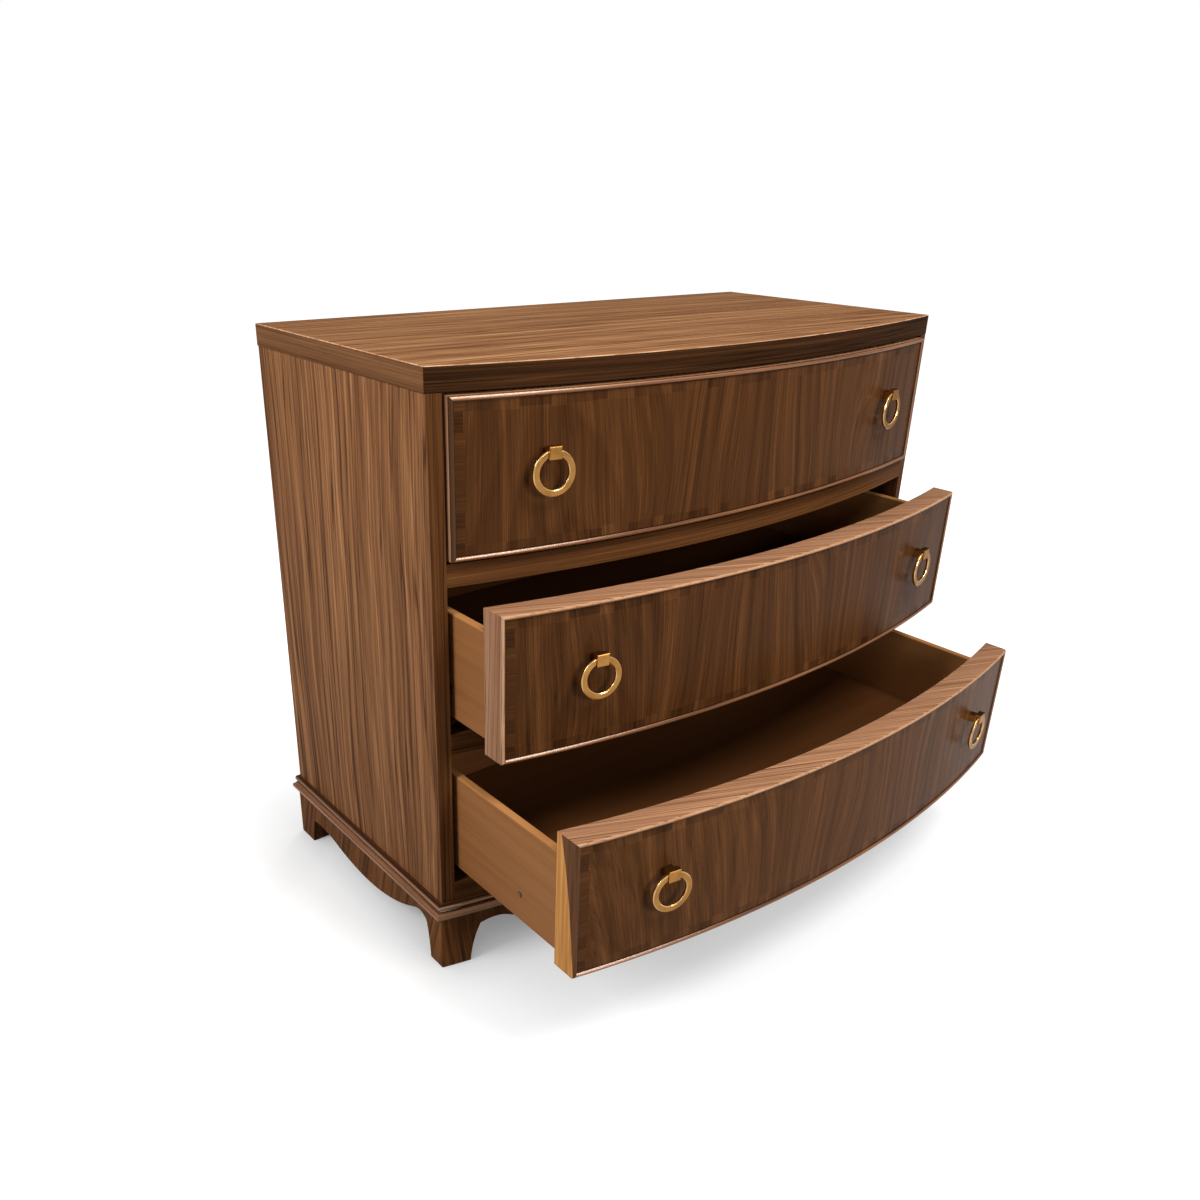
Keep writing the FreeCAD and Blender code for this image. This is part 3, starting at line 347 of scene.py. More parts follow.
def banded(wire, shade):
    """Shift the tone block by block within the border. The front's own map is measured from its middle;
    at the two ends the grain of the blocks lies across the front's."""
    across, up = map_parts(wire, "lay")
    half_up = FRONT_HEIGHT / 2 - EDGING
    crosswise = cloud(up, stretched((across, up, up), (12.0, 420.0, 420.0)), 3.0, 0.6) * 0.7 + 0.4
    for run, other, half in ((across, up, half_up), (up, across, PANEL_HALF)):
        uneven = cloud(run, stretched((run, run, other), (55.0, 55.0, 0.5)), 1.0) * 0.02
        number = ((run + uneven) * (1.0 / BLOCK_BREADTH)).maths("FLOOR")
        level = other.maths("SIGN")
        block = number.node("CombineXYZ", values={0: number, 1: level, 2: half})
        chance = number.node("TexWhiteNoise", {"noise_dimensions": "2D"}, {"Vector": block})
        inset = half - other.maths("ABSOLUTE")
        depth = chance * DEPTH_SPREAD + (BAND_DEPTH - DEPTH_SPREAD / 2)
        inside = 1.0 - step(inset - depth, -0.0003, 0.0003)
        line = 1.0 - step((inset - depth).maths("ABSOLUTE"), 0.0, 0.0006)
        if half == PANEL_HALF:
            shade = shade + (crosswise - shade) * inside
        shade = shade + (chance - 0.6) * inside * 0.3 - line * 0.08
    # The lower front is made a little paler all over.
    lower = 1.0 - step(object_parts(wire, "zxy")[0], FRONT_LOW[2] - 0.01, FRONT_LOW[2])
    return shade + lower * LOWER_FRONT_LIFT - pin_knots(across, up) * 0.6


def pin_knots(across, up, cell=0.11):
    """1 on tiny upright spots, in a fifth of the cells: where the distance to the cell's own point is
    less than a hundredth of the cell."""
    flat, cells = {"voronoi_dimensions": "2D"}, stretched((across, up, up), (1.0 / cell, 0.5 / cell, 0.0))
    spot = across.node("TexVoronoi", flat, {"Vector": cells, "Scale": 1.0})
    chance = across.node("TexVoronoi", flat, {"Vector": cells, "Scale": 1.0}, 1)
    chosen = step(chance.node("SeparateXYZ", values={"Vector": chance}), 0.78, 0.8)
    return (1.0 - step(spot, 0.008, 0.02)) * chosen


# %% [markdown]
# ## Glaze, wear and painted light
# Dark glaze is brushed over beads and mouldings and wiped off again, so it stays in the hollows and
# leaves the crests light: a painted shade in the hollows and a painted highlight on the crests. Handling
# does the like on the arrises of the drawer fronts, where the light line is a painted highlight too. Each
# swept bar carries a map of how bare each place round its section is, and the two shifts below read it.

# %% Shift the shade by how wiped and how lit a place is
def bareness_and_highlight(wire):
    """From 0 in a hollow to 1 on a crest, in the bar's own map: where the glaze is wiped, and where shade
    and highlight are painted.
    """
    return map_parts(wire, "glaze")[1]


def glazed_and_painted_light(wire, shade):
    """Darker where glaze stays, a painted shade, and lighter where it is wiped off, a painted highlight.
    """
    return shade * 0.8 + bareness_and_highlight(wire) * 0.58 - 0.26


def rubbed_and_highlighted(wire, shade):
    """Lighter on the barest part of an arris only: wear, and a painted highlight."""
    return shade + step(bareness_and_highlight(wire), 0.85, 1.0) * 0.4


# %% [markdown]
# ## The walnut finishes
# Each face takes a finish by the way its grain runs: level on the top, rails and slab, upright on sides,
# fronts and feet, along the bar on beads and moulding, and slanting on the level edging, which is cut
# askew. Fine, zone, streak and line set how busy the figure is, and a seed makes it another board.

# %% Mix the walnut finishes
top_walnut = walnut("walnut_top", "xyz", TOP_TONES, fine=190, sway=0.006, skew=0.015, seed=4.0)
slab_front_walnut = walnut("walnut_slab_front", "xzz", LIP_AND_SHADED_BEAD_TONES, fine=220, sway=0.003, arch=0.0,
                           seed=44.0)
slab_side_walnut = walnut("walnut_slab_side", "yzx", SLAB_TONES, fine=240, sway=0.003, arch=0.0,
                          streak=0.7, line=0.3, seed=47.0)
# A lighter copy of the top's walnut for the band along its arris: a painted highlight.
arris_highlight_walnut = walnut("walnut_arris_painted_highlight", "xyz", ARRIS_HIGHLIGHT_TONES, fine=150, seed=50.0)
side_walnut = walnut("walnut_side", "zyx", SIDE_TONES, fine=140, sway=0.045, ring=0.014,
                     heart=(0.1, 0.16), lean=0.06, seed=9.0)
front_walnut = walnut("walnut_front", "zxy", FRONT_TONES, fine=300, sway=0.14, skew=0.05, zone=0.5,
                      streak=0.45, line=0.12, arch=0.15, ring=0.022, heart=(0.35, 0.2), lean=0.15,
                      seed=2.0, soft=0.3, shine=0.08, retone=banded)
# The edging lengths are rubbed lighter on the barest part of the arris: wear, and a painted highlight
# along it.
level_walnut = walnut("walnut_edging_level", "xyz", EDGE_TONES, fine=400, sway=0.004, skew=0.42,
                      arch=0.0, zone=0.2, streak=1.4, line=0.5, seed=14.0, retone=rubbed_and_highlighted)
upright_walnut = walnut("walnut_edging_upright", "zyx", UPRIGHT_TONES, fine=220, sway=0.006, skew=0.04,
                        arch=0.0, streak=1.2, line=0.5, seed=17.0, retone=rubbed_and_highlighted)
# Beads and moulding are glazed: darker in their hollows, a painted shade, and light on their crests, a
# painted highlight.
bead_walnut = walnut("walnut_bead", "lay", BEAD_TONES, fine=200, sway=0.003, arch=0.0, seed=28.0,
                     zone=0.2, streak=0.5, line=0.2, soft=0.22, shine=1.0, tint=ROSY,
                     retone=glazed_and_painted_light)
# A darker copy of the bead walnut for the left ends of the fronts: a painted shade.
shaded_upright_bead_walnut = walnut("walnut_upright_bead_painted_shade", "lay", LIP_AND_SHADED_BEAD_TONES, fine=200, sway=0.003, arch=0.0,
                             zone=0.2, streak=0.8, seed=29.0, soft=0.25, shine=0.5, retone=glazed_and_painted_light)
rail_walnut = walnut("walnut_rails", "xzz", FRAME_TONES, fine=250, sway=0.004, arch=0.0, streak=0.7,
                     line=0.25, seed=21.0)
stile_walnut = walnut("walnut_stiles", "zxy", FRAME_TONES, fine=170, sway=0.004, arch=0.0, seed=25.0)
moulding_walnut = walnut("walnut_moulding", "lay", MOULDING_TONES, fine=200, sway=0.003, arch=0.0,
                         zone=0.2, streak=0.5, line=0.2, seed=31.0, soft=0.25, shine=0.8, tint=ROSY,
                         retone=glazed_and_painted_light)
base_walnut = walnut("walnut_base", "zxy", BASE_TONES, fine=130, sway=0.02, skew=0.12, streak=0.7,
                     line=0.25, seed=36.0)
base_side_walnut = walnut("walnut_base_side", "zyx", BASE_TONES, fine=130, sway=0.02, skew=0.3,
                          streak=0.8, line=0.3, seed=38.0)

# %% [markdown]
# ## Sapwood on the lower drawer
# The left end of the lower drawer front was cut through the sapwood: a golden field below and behind,
# and a wedge of dark heartwood that comes down from the top along the fore edge. The border between
# them is a slanting line, blurred by the grain.

# %% The end of the lower drawer front
EDGING_PROUD, VENEER_PROUD, FRONT_BACK = 0.008, 0.005, -0.030
EDGE_DEPTH = EDGING_PROUD - FRONT_BACK


def sapwood_end(name):
    """Two woods mixed by a slanting line: brown where the share of the depth behind the fore edge is less
    than wedge(t) = t (0.48 t + 0.27) + 0.04, t being the share of the height, and gold elsewhere."""
    finish, wire = new_finish(name)
    parts = object_parts(wire, "zyx")
    up, back, _ = parts
    rise = up * (1.0 / FRONT_HEIGHT) - FRONT_LOW[3] / FRONT_HEIGHT
    lean = cloud(up, stretched(parts, (14.0, 60.0, 60.0), 2.0)) * 0.12
    front_y = bow(FRONT_HALF, EDGING_PROUD) - OPENED[3]
    fore = (back - float(front_y)) * (1.0 / EDGE_DEPTH)
    wedge = rise * (rise * 0.48 + 0.27) + 0.04
    heartwood = 1.0 - step(fore - wedge + lean, -0.02, 0.02)
    grain = cloud(up, stretched(parts, (4.0, 160.0, 160.0), 5.0), 3.0, 0.6)
    fibres = cloud(up, stretched(parts, (10.0, 600.0, 600.0), 8.0))
    gold = mixed(tone(184, 122, 62), tone(230, 168, 98), step(grain, -0.25, 0.3))
    brown = mixed(tone(78, 48, 29), tone(124, 84, 56), step(grain, -0.25, 0.3))
    lacquer(wire, mixed(gold, brown, heartwood), fibres * 0.1 + 0.46, fibres, 0.08)
    return finish


sapwood = sapwood_end("walnut_sapwood_end")

# %% [markdown]
# ## The wood of the drawers
# The drawer boxes are smooth and stained a plain golden tan, with only a breath of grain along the
# drawer. Their upper edges are painted paler, a painted highlight, and their insides and bottoms darker,
# a painted shade; the inside of the case is painted darkest, a painted shade. The parts behind the scenes
# are left raw and pale brown, the upright ones a little darker, a painted shade inside the case.

# %% Plain drawer wood
def plain_wood(name, order, dark, light, seed, rates=(2.0, 60.0, 60.0)):
    """Quiet wood: two tones mixed by long soft noise, with fine fibres for the surface."""
    finish, wire = new_finish(name)
    parts = object_parts(wire, order)
    long = cloud(parts[0], stretched(parts, rates, seed), 3.0, 0.55)
    fibres = cloud(parts[0], stretched(parts, (8.0, 480.0, 480.0), seed), 2.0)
    slow = cloud(parts[0], stretched(parts, (2.5, 5.0, 5.0), seed + 4.0), 1.0)
    colour = mixed(dark, light, step(long * 0.5 + slow * 0.8 + fibres * 0.25, -0.4, 0.4))
    lacquer(wire, colour, fibres * 0.12 + 0.5, fibres, 0.06)
    return finish


box_side_wood = plain_wood("drawer_side_wood", "yzx", tone(124, 76, 38), tone(164, 112, 70), 3.0)
# The inner faces of the box sides are a darker copy of the drawer wood, a painted shade, and their upper
# edges a lighter copy, a painted highlight.
box_inner_shaded_wood = plain_wood("drawer_inner_wood", "yzx", tone(90, 54, 27), tone(110, 69, 37), 5.0)
box_edge_highlight_wood = plain_wood("drawer_edge_wood", "yzx", tone(158, 106, 60), tone(184, 128, 76), 4.0)
box_back_wood = plain_wood("drawer_back_wood", "xzy", tone(100, 61, 32), tone(122, 77, 43), 6.0)
# The drawer bottoms are a darker copy too: a painted shade.
box_floor_shaded_wood = plain_wood("drawer_floor_wood", "xyz", tone(80, 46, 22), tone(100, 61, 32), 9.0)
raw_wood = plain_wood("raw_wood", "xyz", tone(120, 88, 60), tone(158, 122, 88), 12.0)
# The upright raw wood and the inner case wood are darker copies, a painted shade inside the case.
raw_upright_shaded_wood = plain_wood("raw_upright_shaded_wood", "zxy", tone(104, 72, 46), tone(140, 102, 70), 15.0)
inner_case_shaded_wood = plain_wood("inner_case_shaded_wood", "zxy", tone(50, 30, 17), tone(66, 42, 25), 16.0)

# %% [markdown]
# ## Metal and plastic
# The pulls are cast brass, warm gold with a soft gloss. The bevels of the rings are painted bright, a
# painted highlight, and the tops of the straps dark, a painted shade. The slides are zinc-plated steel,
# the screws in the drawer sides are duller, and the locking clips under the drawers are grey plastic.

# %% Brass, zinc and clip plastic
def metal(name, dark, light, roughness, seed, relief=0.05, share=1.0, top_shade=None):
    """Metal whose tone and gloss drift in smoky patches; the last argument is a painted shade, the tone
    of faces that look up.
    """
    finish, wire = new_finish(name)
    parts = object_parts(wire, "xyz")
    smoky = cloud(parts[0], stretched(parts, (55.0, 55.0, 55.0), seed), 3.0)
    colour = mixed(dark, light, step(smoky, -0.3, 0.3))
    # Faces that look up take the last tone, a painted shade, and grow rougher.
    if top_shade:
        facing = wire.node("NewGeometry", output="Normal")
        upward = step(facing.node("SeparateXYZ", values={"Vector": facing}, output=2), 0.5, 0.9)
        colour = mixed(colour, top_shade, upward)
        roughness = upward * 0.3 + roughness
    lacquer(wire, colour, smoky * 0.08 + roughness, smoky, relief, 0.5, PLAIN, share)
    return finish


brass = metal("brass", tone(178, 122, 60), tone(206, 150, 82), 0.25, 2.0, 0.0)
# The straps' upward faces are painted dark: a painted shade.
strap_brass_shaded_top = metal("strap_brass_shaded_top", tone(178, 122, 60), tone(206, 150, 82), 0.25, 4.0, 0.0,
                    top_shade=tone(84, 54, 24))
# The bevels of the rings take a paler, half-metal brass: a painted highlight.
bevel_highlight_brass = metal("bevel_highlight_brass", tone(232, 184, 112), tone(250, 212, 146), 0.2, 3.0, 0.0, 0.6)
dull_steel = metal("dull_steel", tone(128, 98, 74), tone(146, 114, 88), 0.5, 8.0)
zinc = metal("zinc", tone(168, 170, 174), tone(206, 208, 212), 0.34, 5.0)
clip_plastic = plain_wood("clip_plastic", "xyz", tone(70, 72, 76), tone(84, 86, 90), 18.0,
                          rates=(300.0, 300.0, 300.0))
print(len(bpy.data.materials), "materials")

# %% [markdown]
# ## Boards
# A sawn board is a box whose arrises have been eased. Each is laid out here as a sharp box, with its
# points crowded near the edges, and every point is then drawn in to the distance of the easing from a
# slightly smaller box inside. The boards that follow the bow are made flat and then laid on the arc.

# %% Boards with rolled arrises
ROLL_TURNS = np.radians([45.0, 30.0, 15.0, 0.0])


def edge_places(low, high, roll, cells):
    """Places across a board: crowded over each rolled arris and even between them."""
    start = low + roll * (1 - np.tan(ROLL_TURNS))
    middle = np.linspace(low + 2 * roll, high - 2 * roll, cells + 1)
    return np.concatenate([start, middle, low + high - start[::-1]])


def grid_faces(rows, columns):
    """Quads between neighbouring places of a grid that is numbered row by row."""
    numbers = np.arange(rows * columns).reshape(rows, columns)
    corners = (numbers[:-1, :-1], numbers[1:, :-1], numbers[1:, 1:], numbers[:-1, 1:])
    return np.stack(corners, axis=-1).reshape(-1, 4)


def rolled_board(low, high, roll, cells):
    """point = inner + roll (sharp - inner) / |sharp - inner|, where inner is the place nearest to the
    sharp point in the box that is smaller by roll on every side. Also gives the side of each quad:
    0 and 1 for low and high x, 2 and 3 for y, 4 and 5 for z."""
    low, high = np.array(low, float), np.array(high, float)
    places = [edge_places(low[axis], high[axis], roll, cells[axis]) for axis in range(3)]
    sheets, faces, sides = [], [], []
    for axis in range(3):
        first, second = (axis + 1) % 3, (axis + 2) % 3
        for far, level in enumerate((low[axis], high[axis])):
            sheet = np.full((len(places[first]), len(places[second]), 3), level)
            sheet[..., first] = places[first][:, None]
            sheet[..., second] = places[second][None, :]
            quads = grid_faces(*sheet.shape[:2]) + sum(map(len, sheets))
            faces.append(quads if far else quads[:, ::-1])
            sides.append(np.full(len(quads), 2 * axis + far))
            sheets.append(sheet.reshape(-1, 3))
    sharp = np.concatenate(sheets)
    inner = np.clip(sharp, low + roll, high - roll)
    away = sharp - inner
    points = inner + roll * away / np.linalg.norm(away, axis=1, keepdims=True)
    points, numbers = np.unique(np.round(points, 7), axis=0, return_inverse=True)
    return points, numbers.reshape(-1)[np.concatenate(faces)], np.concatenate(sides)


def laid_on_bow(points, thickness, front, back):
    """Turn a depth of 0 to thickness into y from front(across) to back(across)."""
    share = points[:, 1] / thickness
    laid = points.copy()
    laid[:, 1] = (1 - share) * front(points[:, 0]) + share * back(points[:, 0])
    return laid


# %% [markdown]
# ## Swept bars
# A moulding, an edging or a drawer side is one section carried along a line. The sections are kept as
# an array of stations by places round the section, and neighbouring places are joined by quads.

# %% Bars swept through their sections
def swept(sections):
    """A bar through sections[station, place round it]: quads along it and a flat face on each end."""
    stations, around = sections.shape[:2]
    numbers = np.arange(stations * around).reshape(stations, around)
    closed = np.concatenate([numbers, numbers[:, :1]], axis=1)
    corners = (closed[:-1, :-1], closed[1:, :-1], closed[1:, 1:], closed[:-1, 1:])
    faces = np.stack(corners, axis=-1).reshape(-1, 4).tolist()
    ends = [numbers[0].tolist(), numbers[-1][::-1].tolist()]
    return sections.reshape(-1, 3), faces + ends


def spread_over_bar(stations, places):
    """A map for each face corner of a swept bar: one number by station, the other by place round it."""
    u, v = np.meshgrid(stations, np.append(places, places[0]), indexing="ij")
    grid = np.stack([u, v], axis=-1)
    corners = (grid[:-1, :-1], grid[1:, :-1], grid[1:, 1:], grid[:-1, 1:])
    quads = np.stack(corners, axis=2).reshape(-1, 2)
    return np.concatenate([quads, grid[0, :-1], grid[-1, :-1][::-1]])


def maps_of_bar(sections, bare_and_lit=None):
    """The lay map, lengths along and round a bar, and the glaze map, which also places painted light, if
    the wiped share of each place is given.
    """
    centres = sections.mean(axis=1)
    along = np.concatenate([[0.0], np.cumsum(np.linalg.norm(np.diff(centres, axis=0), axis=1))])
    steps = np.diff(sections[len(sections) // 2], axis=0)
    around = np.concatenate([[0.0], np.cumsum(np.linalg.norm(steps, axis=1))])
    maps = {"lay": spread_over_bar(along, around)}
    if bare_and_lit is not None:
        maps["glaze"] = spread_over_bar(along, bare_and_lit)
    return maps


# %% [markdown]
# ## From points to pieces
# A piece is a mesh with its coats and maps, set on the body it moves with. Its faces are turned outwards
# if the volume they enclose comes out negative, which is the sum of first . (second x third) over its
# triangles. The base boards and the rings have their arrises eased by a small bevel.

# %% Hang a piece in the scene
CREASE, EASED_FROM = np.radians(35.0), np.radians(40.0)


def dress(name, body, points, faces, coats, nodes, slot, coat_of_face=None, maps=None, ease=0.0):
    """A mesh of these points in metres that rides on a body and stands for CAD nodes. Edges sharper than
    the crease stay sharp, and those sharper than a second angle are eased by so many metres if asked."""
    mesh = bpy.data.meshes.new(name)
    mesh.from_pydata(points.tolist(), [], faces if isinstance(faces, list) else faces.tolist())
    for coat in coats:
        mesh.materials.append(coat)
    if coat_of_face is not None:
        mesh.polygons.foreach_set("material_index", np.asarray(coat_of_face, np.int32))
    for label, places in (maps or {}).items():
        mesh.uv_layers.new(name=label).data.foreach_set("uv", places.astype(np.float32).ravel())
    mesh.calc_loop_triangles()
    corners = np.empty(len(mesh.loop_triangles) * 3, np.int32)
    mesh.loop_triangles.foreach_get("vertices", corners)
    first, second, third = points[corners].reshape(-1, 3, 3).transpose(1, 0, 2)
    if np.einsum("ij,ij->", first, np.cross(second, third)) < 0:
        mesh.flip_normals()
    mesh.shade_smooth()
    mesh.set_sharp_from_angle(angle=float(CREASE))
    piece = bpy.data.objects.new(name, mesh)
    bpy.context.scene.collection.objects.link(piece)
    if ease:
        arris = piece.modifiers.new("eased arrises", "BEVEL")
        arris.width = ease
        arris.segments = 2
        arris.limit_method = "ANGLE"
        arris.angle_limit = float(EASED_FROM)
    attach(piece, body)
    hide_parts(*nodes)
    print(name, len(mesh.polygons), "faces")


# %% [markdown]
# ## The case
# The top is one thick slab, flush with the bow in front and a shade wider than the sides. Below it,
# each side is a veneered board behind a narrow stile, and the side veneer runs over the stile to the
# corner, so the stile wears two finishes. Three rails of the same bow join the stiles.

# %% The top
TOP_LOW, TOP_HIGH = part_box("top_panel")
TOP_ROLL = 0.0015
ARRIS_START, ARRIS_END, ARRIS_HIGHLIGHT_COAT = 0.0001, 0.0012, 6
CASE_DEPTH = BACK_Y - CORNER_Y
points, faces, sides = rolled_board((TOP_LOW.x, 0.0, TOP_LOW.z), (TOP_HIGH.x, CASE_DEPTH, TOP_HIGH.z),
                                    TOP_ROLL, (80, 24, 4))
points = laid_on_bow(points, CASE_DEPTH, bow, lambda across: BACK_Y + 0 * across)
# The band just under the top face, on its rolled arris, takes the lighter arris walnut: a painted
# highlight.
below_top = TOP_HIGH.z - points[faces, 2].min(axis=1)
sides[(below_top > ARRIS_START) & (below_top < ARRIS_END)] = ARRIS_HIGHLIGHT_COAT
# The underside of the top takes the dark inner case wood: a painted shade.
coats = [slab_side_walnut, slab_side_walnut, slab_front_walnut, slab_front_walnut, inner_case_shaded_wood,
         top_walnut, arris_highlight_walnut]
dress("top", "case", points, faces, coats, ["top_panel"], "walnut_top", coat_of_face=sides)

# %% Sides and stiles
CASE_BASE, CASE_TOP = SIDE_LOW.z, SIDE_HIGH.z
STILE_INNER = SIDE_LOW.x
STILE_DEPTH = SIDE_LOW.y - CORNER_Y
HAND = {"left": -1, "right": 1}


def handed(points, faces, hand):
    """A piece for the right, or its mirror image for the left with its faces turned round."""
    return points * (hand, 1, 1), faces if hand > 0 else faces[:, ::-1]


for name, hand in HAND.items():
    low, high = (STILE_INNER, SIDE_LOW.y, CASE_BASE), (HALF_WIDTH, BACK_Y, CASE_TOP)
    points, faces, sides = rolled_board(low, high, 0.0002, (2, 12, 20))
    # The inner face takes the dark inner case wood, a painted shade, and the edges take the darker raw
    # wood.
    dress(f"side_{name}", "case", *handed(points, faces, hand),
          [inner_case_shaded_wood, side_walnut, raw_upright_shaded_wood], [f"side_panel_{name}"], "walnut_side",
          coat_of_face=np.minimum(sides, 2))
    low, high = (STILE_INNER, 0.0, CASE_BASE), (HALF_WIDTH, STILE_DEPTH, CASE_TOP)
    points, faces, sides = rolled_board(low, high, 0.0004, (4, 4, 20))
    points = laid_on_bow(points, STILE_DEPTH, bow, lambda across: SIDE_LOW.y + 0 * across)
    dress(f"front_stile_{name}", "case", *handed(points, faces, hand), [stile_walnut, side_walnut],
          [f"stile_{name}"], "walnut_frame", coat_of_face=sides == 1)

# %% Rails
for name in ("upper", "lower", "bottom"):
    low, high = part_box(f"rail_{name}")
    points, faces, sides = rolled_board((-STILE_INNER, 0.0, low.z), (STILE_INNER, STILE_DEPTH, high.z),
                                        0.0006, (80, 4, 4))
    points = laid_on_bow(points, STILE_DEPTH, bow, lambda across: SIDE_LOW.y + 0 * across)
    dress(f"{name}_rail", "case", points, faces, [rail_walnut], [f"rail_{name}"], "walnut_frame")

# %% [markdown]
# ## The base moulding
# A moulding runs round the foot of the case on three sides: a square lower member with a rounded
# nose, a hollow above it, and a half-round bead on top. It is shaped as one long stick and cut in
# mitres at the front corners. Its section is a walk of reaches past the case and heights, and every
# reach runs its own line along the side and round the bow.

# %% The section of the moulding
NOSE_REACH, NOSE_ROUND, LOWER_HEIGHT = 0.0155, 0.003, 0.007
LIP_REACH, HOLLOW_REACH, ROUND_BASE = 0.0135, 0.005, 0.012
ROUND_ROOT, ROUND_REACH, MOULDING_HEIGHT = 0.0065, 0.0095, 0.020


def quarter(count, turns=1):
    """Angles over so many quarter turns, in radians."""
    return np.linspace(0.0, turns * np.pi / 2, count)


def moulding_walk():
    """Reach past the case, height above the base boards, and wiped share with its painted light and
    shade, anticlockwise from the inner foot.

    The nose is a quarter circle: reach = centre + radius sin t, height = radius (1 - cos t). The hollow
    is a quarter ellipse: reach = lip - depth sin t, height = start + rise (1 - cos t). The bead is a
    half ellipse: reach = root + stand sin t, height = start + half its height (1 - cos t).
    """
    nose, hollow, bead = quarter(7), quarter(9), quarter(15, 2)
    parts = [
        ([0.0], [0.0], [0.0]),
        (NOSE_REACH - NOSE_ROUND + NOSE_ROUND * np.sin(nose), NOSE_ROUND * (1 - np.cos(nose)),
         np.sin(nose)),
        ([NOSE_REACH - 0.0003], [LOWER_HEIGHT], [0.9]),
        (LIP_REACH - (LIP_REACH - HOLLOW_REACH) * np.sin(hollow),
         LOWER_HEIGHT + (ROUND_BASE - LOWER_HEIGHT) * (1 - np.cos(hollow)), np.cos(hollow)),
        (ROUND_ROOT + (ROUND_REACH - ROUND_ROOT) * np.sin(bead),
         ROUND_BASE + (MOULDING_HEIGHT - ROUND_BASE) / 2 * (1 - np.cos(bead)), np.sin(bead)),
        ([0.0], [MOULDING_HEIGHT], [0.5]),
    ]
    return (np.concatenate([part[number] for part in parts]) for number in (0, 1, 2))


# %% Run the moulding round the case
reach, rise, bare_and_lit = moulding_walk()
share = np.linspace(-1, 1, 121)[:, None]
across = share * (HALF_WIDTH + reach)
front_run = np.stack([across, bow(across, reach), CASE_BASE + rise + 0 * across], axis=-1)
dress("front_moulding", "case", *swept(front_run), [moulding_walnut], ["moulding_front"],
      "walnut_frame", maps=maps_of_bar(front_run, bare_and_lit))
for name, hand in HAND.items():
    share = np.linspace(0, 1, 30)[:, None]
    corner = bow(HALF_WIDTH + reach, reach)
    back = corner + share * (BACK_Y - corner)
    side_run = np.stack([hand * (HALF_WIDTH + reach) + 0 * back, back, CASE_BASE + rise + 0 * back],
                        axis=-1)
    dress(f"{name}_moulding", "case", *swept(side_run), [moulding_walnut], [f"moulding_{name}"],
          "walnut_frame", maps=maps_of_bar(side_run, bare_and_lit))

# %% [markdown]
# ## The bracket base
# Thick boards stand under the moulding, sawn into feet. From the toe the edge curves up to a small
# shoulder, leaps over an arch, and sinks in a long S to the flat belly in the middle. The back arch of
# a side is lower and its S longer. Boards and feet meet in mitres at the front corners.

# %% Arcs and the sawn edge of a base board
BASE_REACH, BASE_INNER_REACH = 0.0045, -0.0255
BASE_OUTER, BASE_INNER = HALF_WIDTH + BASE_REACH, HALF_WIDTH + BASE_INNER_REACH
BELLY_HEIGHT = 0.030
MITRE_END = 0.07
HEEL = 0.044
BELLY_START = 0.4845
BASE_EASE = 0.0007


def arc(start, through, finish, count=16):
    """Places at equal turns on the circle through three points; its centre c solves
    2 (p - start) . (c - start) = |p - start| squared for both other points."""
    start, through, finish = (np.array(place, float) for place in (start, through, finish))
    chords = np.array([through - start, finish - start])
    arm = np.linalg.solve(chords, (chords ** 2).sum(axis=1) / 2)
    spokes = np.array([start, finish]) - (start + arm)
    first, last = np.arctan2(spokes[:, 1], spokes[:, 0])
    turns = first + np.linspace(0, 1, count) * ((last - first + np.pi) % (2 * np.pi) - np.pi)
    return start + arm + np.hypot(*arm) * np.stack([np.cos(turns), np.sin(turns)], axis=-1)


def eased(start, finish, forward):
    """The middle of the arc that leaves start level and ends at finish."""
    run, rise = forward * (finish[0] - start[0]), finish[1] - start[1]
    chord = np.hypot(run, rise)
    return start[0] + forward * chord / 2, start[1] + chord * (chord - run) / (2 * rise)


def foot_edge(toe, flare, shoulder, arch_run, arch, belly, bend_share, forward):
    """From a toe over the arch to the belly: four arcs through named places."""
    neck = toe + forward * flare
    crown = (neck + forward * arch_run, arch)
    lowest = (belly, BELLY_HEIGHT)
    bend = (crown[0] + bend_share * (belly - crown[0]), arch + bend_share * (BELLY_HEIGHT - arch))
    leap = (neck + 0.45 * forward * arch_run, shoulder + 0.72 * (arch - shoulder))
    arcs = [arc((toe, 0.0), (toe + 0.36 * forward * flare, 0.55 * shoulder), (neck, shoulder)),
            arc((neck, shoulder), leap, crown),
            arc(crown, eased(crown, bend, forward), bend),
            arc(bend, eased(lowest, bend, -forward), lowest, 30)]
    return np.concatenate([arcs[0]] + [later[1:] for later in arcs[1:]])


# %% The front board of the base
def base_sections(across, low, front, back):
    """Four corners at each station: low and high on the front face, high and low on the back face."""
    high = CASE_BASE + 0 * low
    faces = [(across, front, low), (across, front, high), (across, back, high), (across, back, low)]
    return np.stack([np.stack(corner, axis=-1) for corner in faces], axis=1)


half_edge = foot_edge(BASE_OUTER - HEEL, 0.016, 0.0645, 0.026, 0.0695, 0.485 * HALF_WIDTH, 0.1, -1)
mitre = np.linspace(BASE_OUTER, BASE_OUTER - HEEL, 9)[:-1]
half_edge = np.concatenate([np.stack([mitre, 0 * mitre], axis=-1), half_edge])
belly = np.linspace(half_edge[-1, 0], 0, 25)[1:]
half_edge = np.concatenate([half_edge, np.stack([belly, BELLY_HEIGHT + 0 * belly], axis=-1)])
edge = np.concatenate([half_edge * (-1, 1), half_edge[-2::-1]])
across, low = edge.T
aside = np.abs(across)
into_mitre = np.clip((aside - BASE_INNER) / (BASE_OUTER - BASE_INNER), 0, 1 - MITRE_END)
inner_corner, outer_corner = bow(BASE_INNER, BASE_INNER_REACH), bow(BASE_OUTER, BASE_REACH)
inner_bow = bow(np.minimum(aside, BASE_INNER), BASE_INNER_REACH)
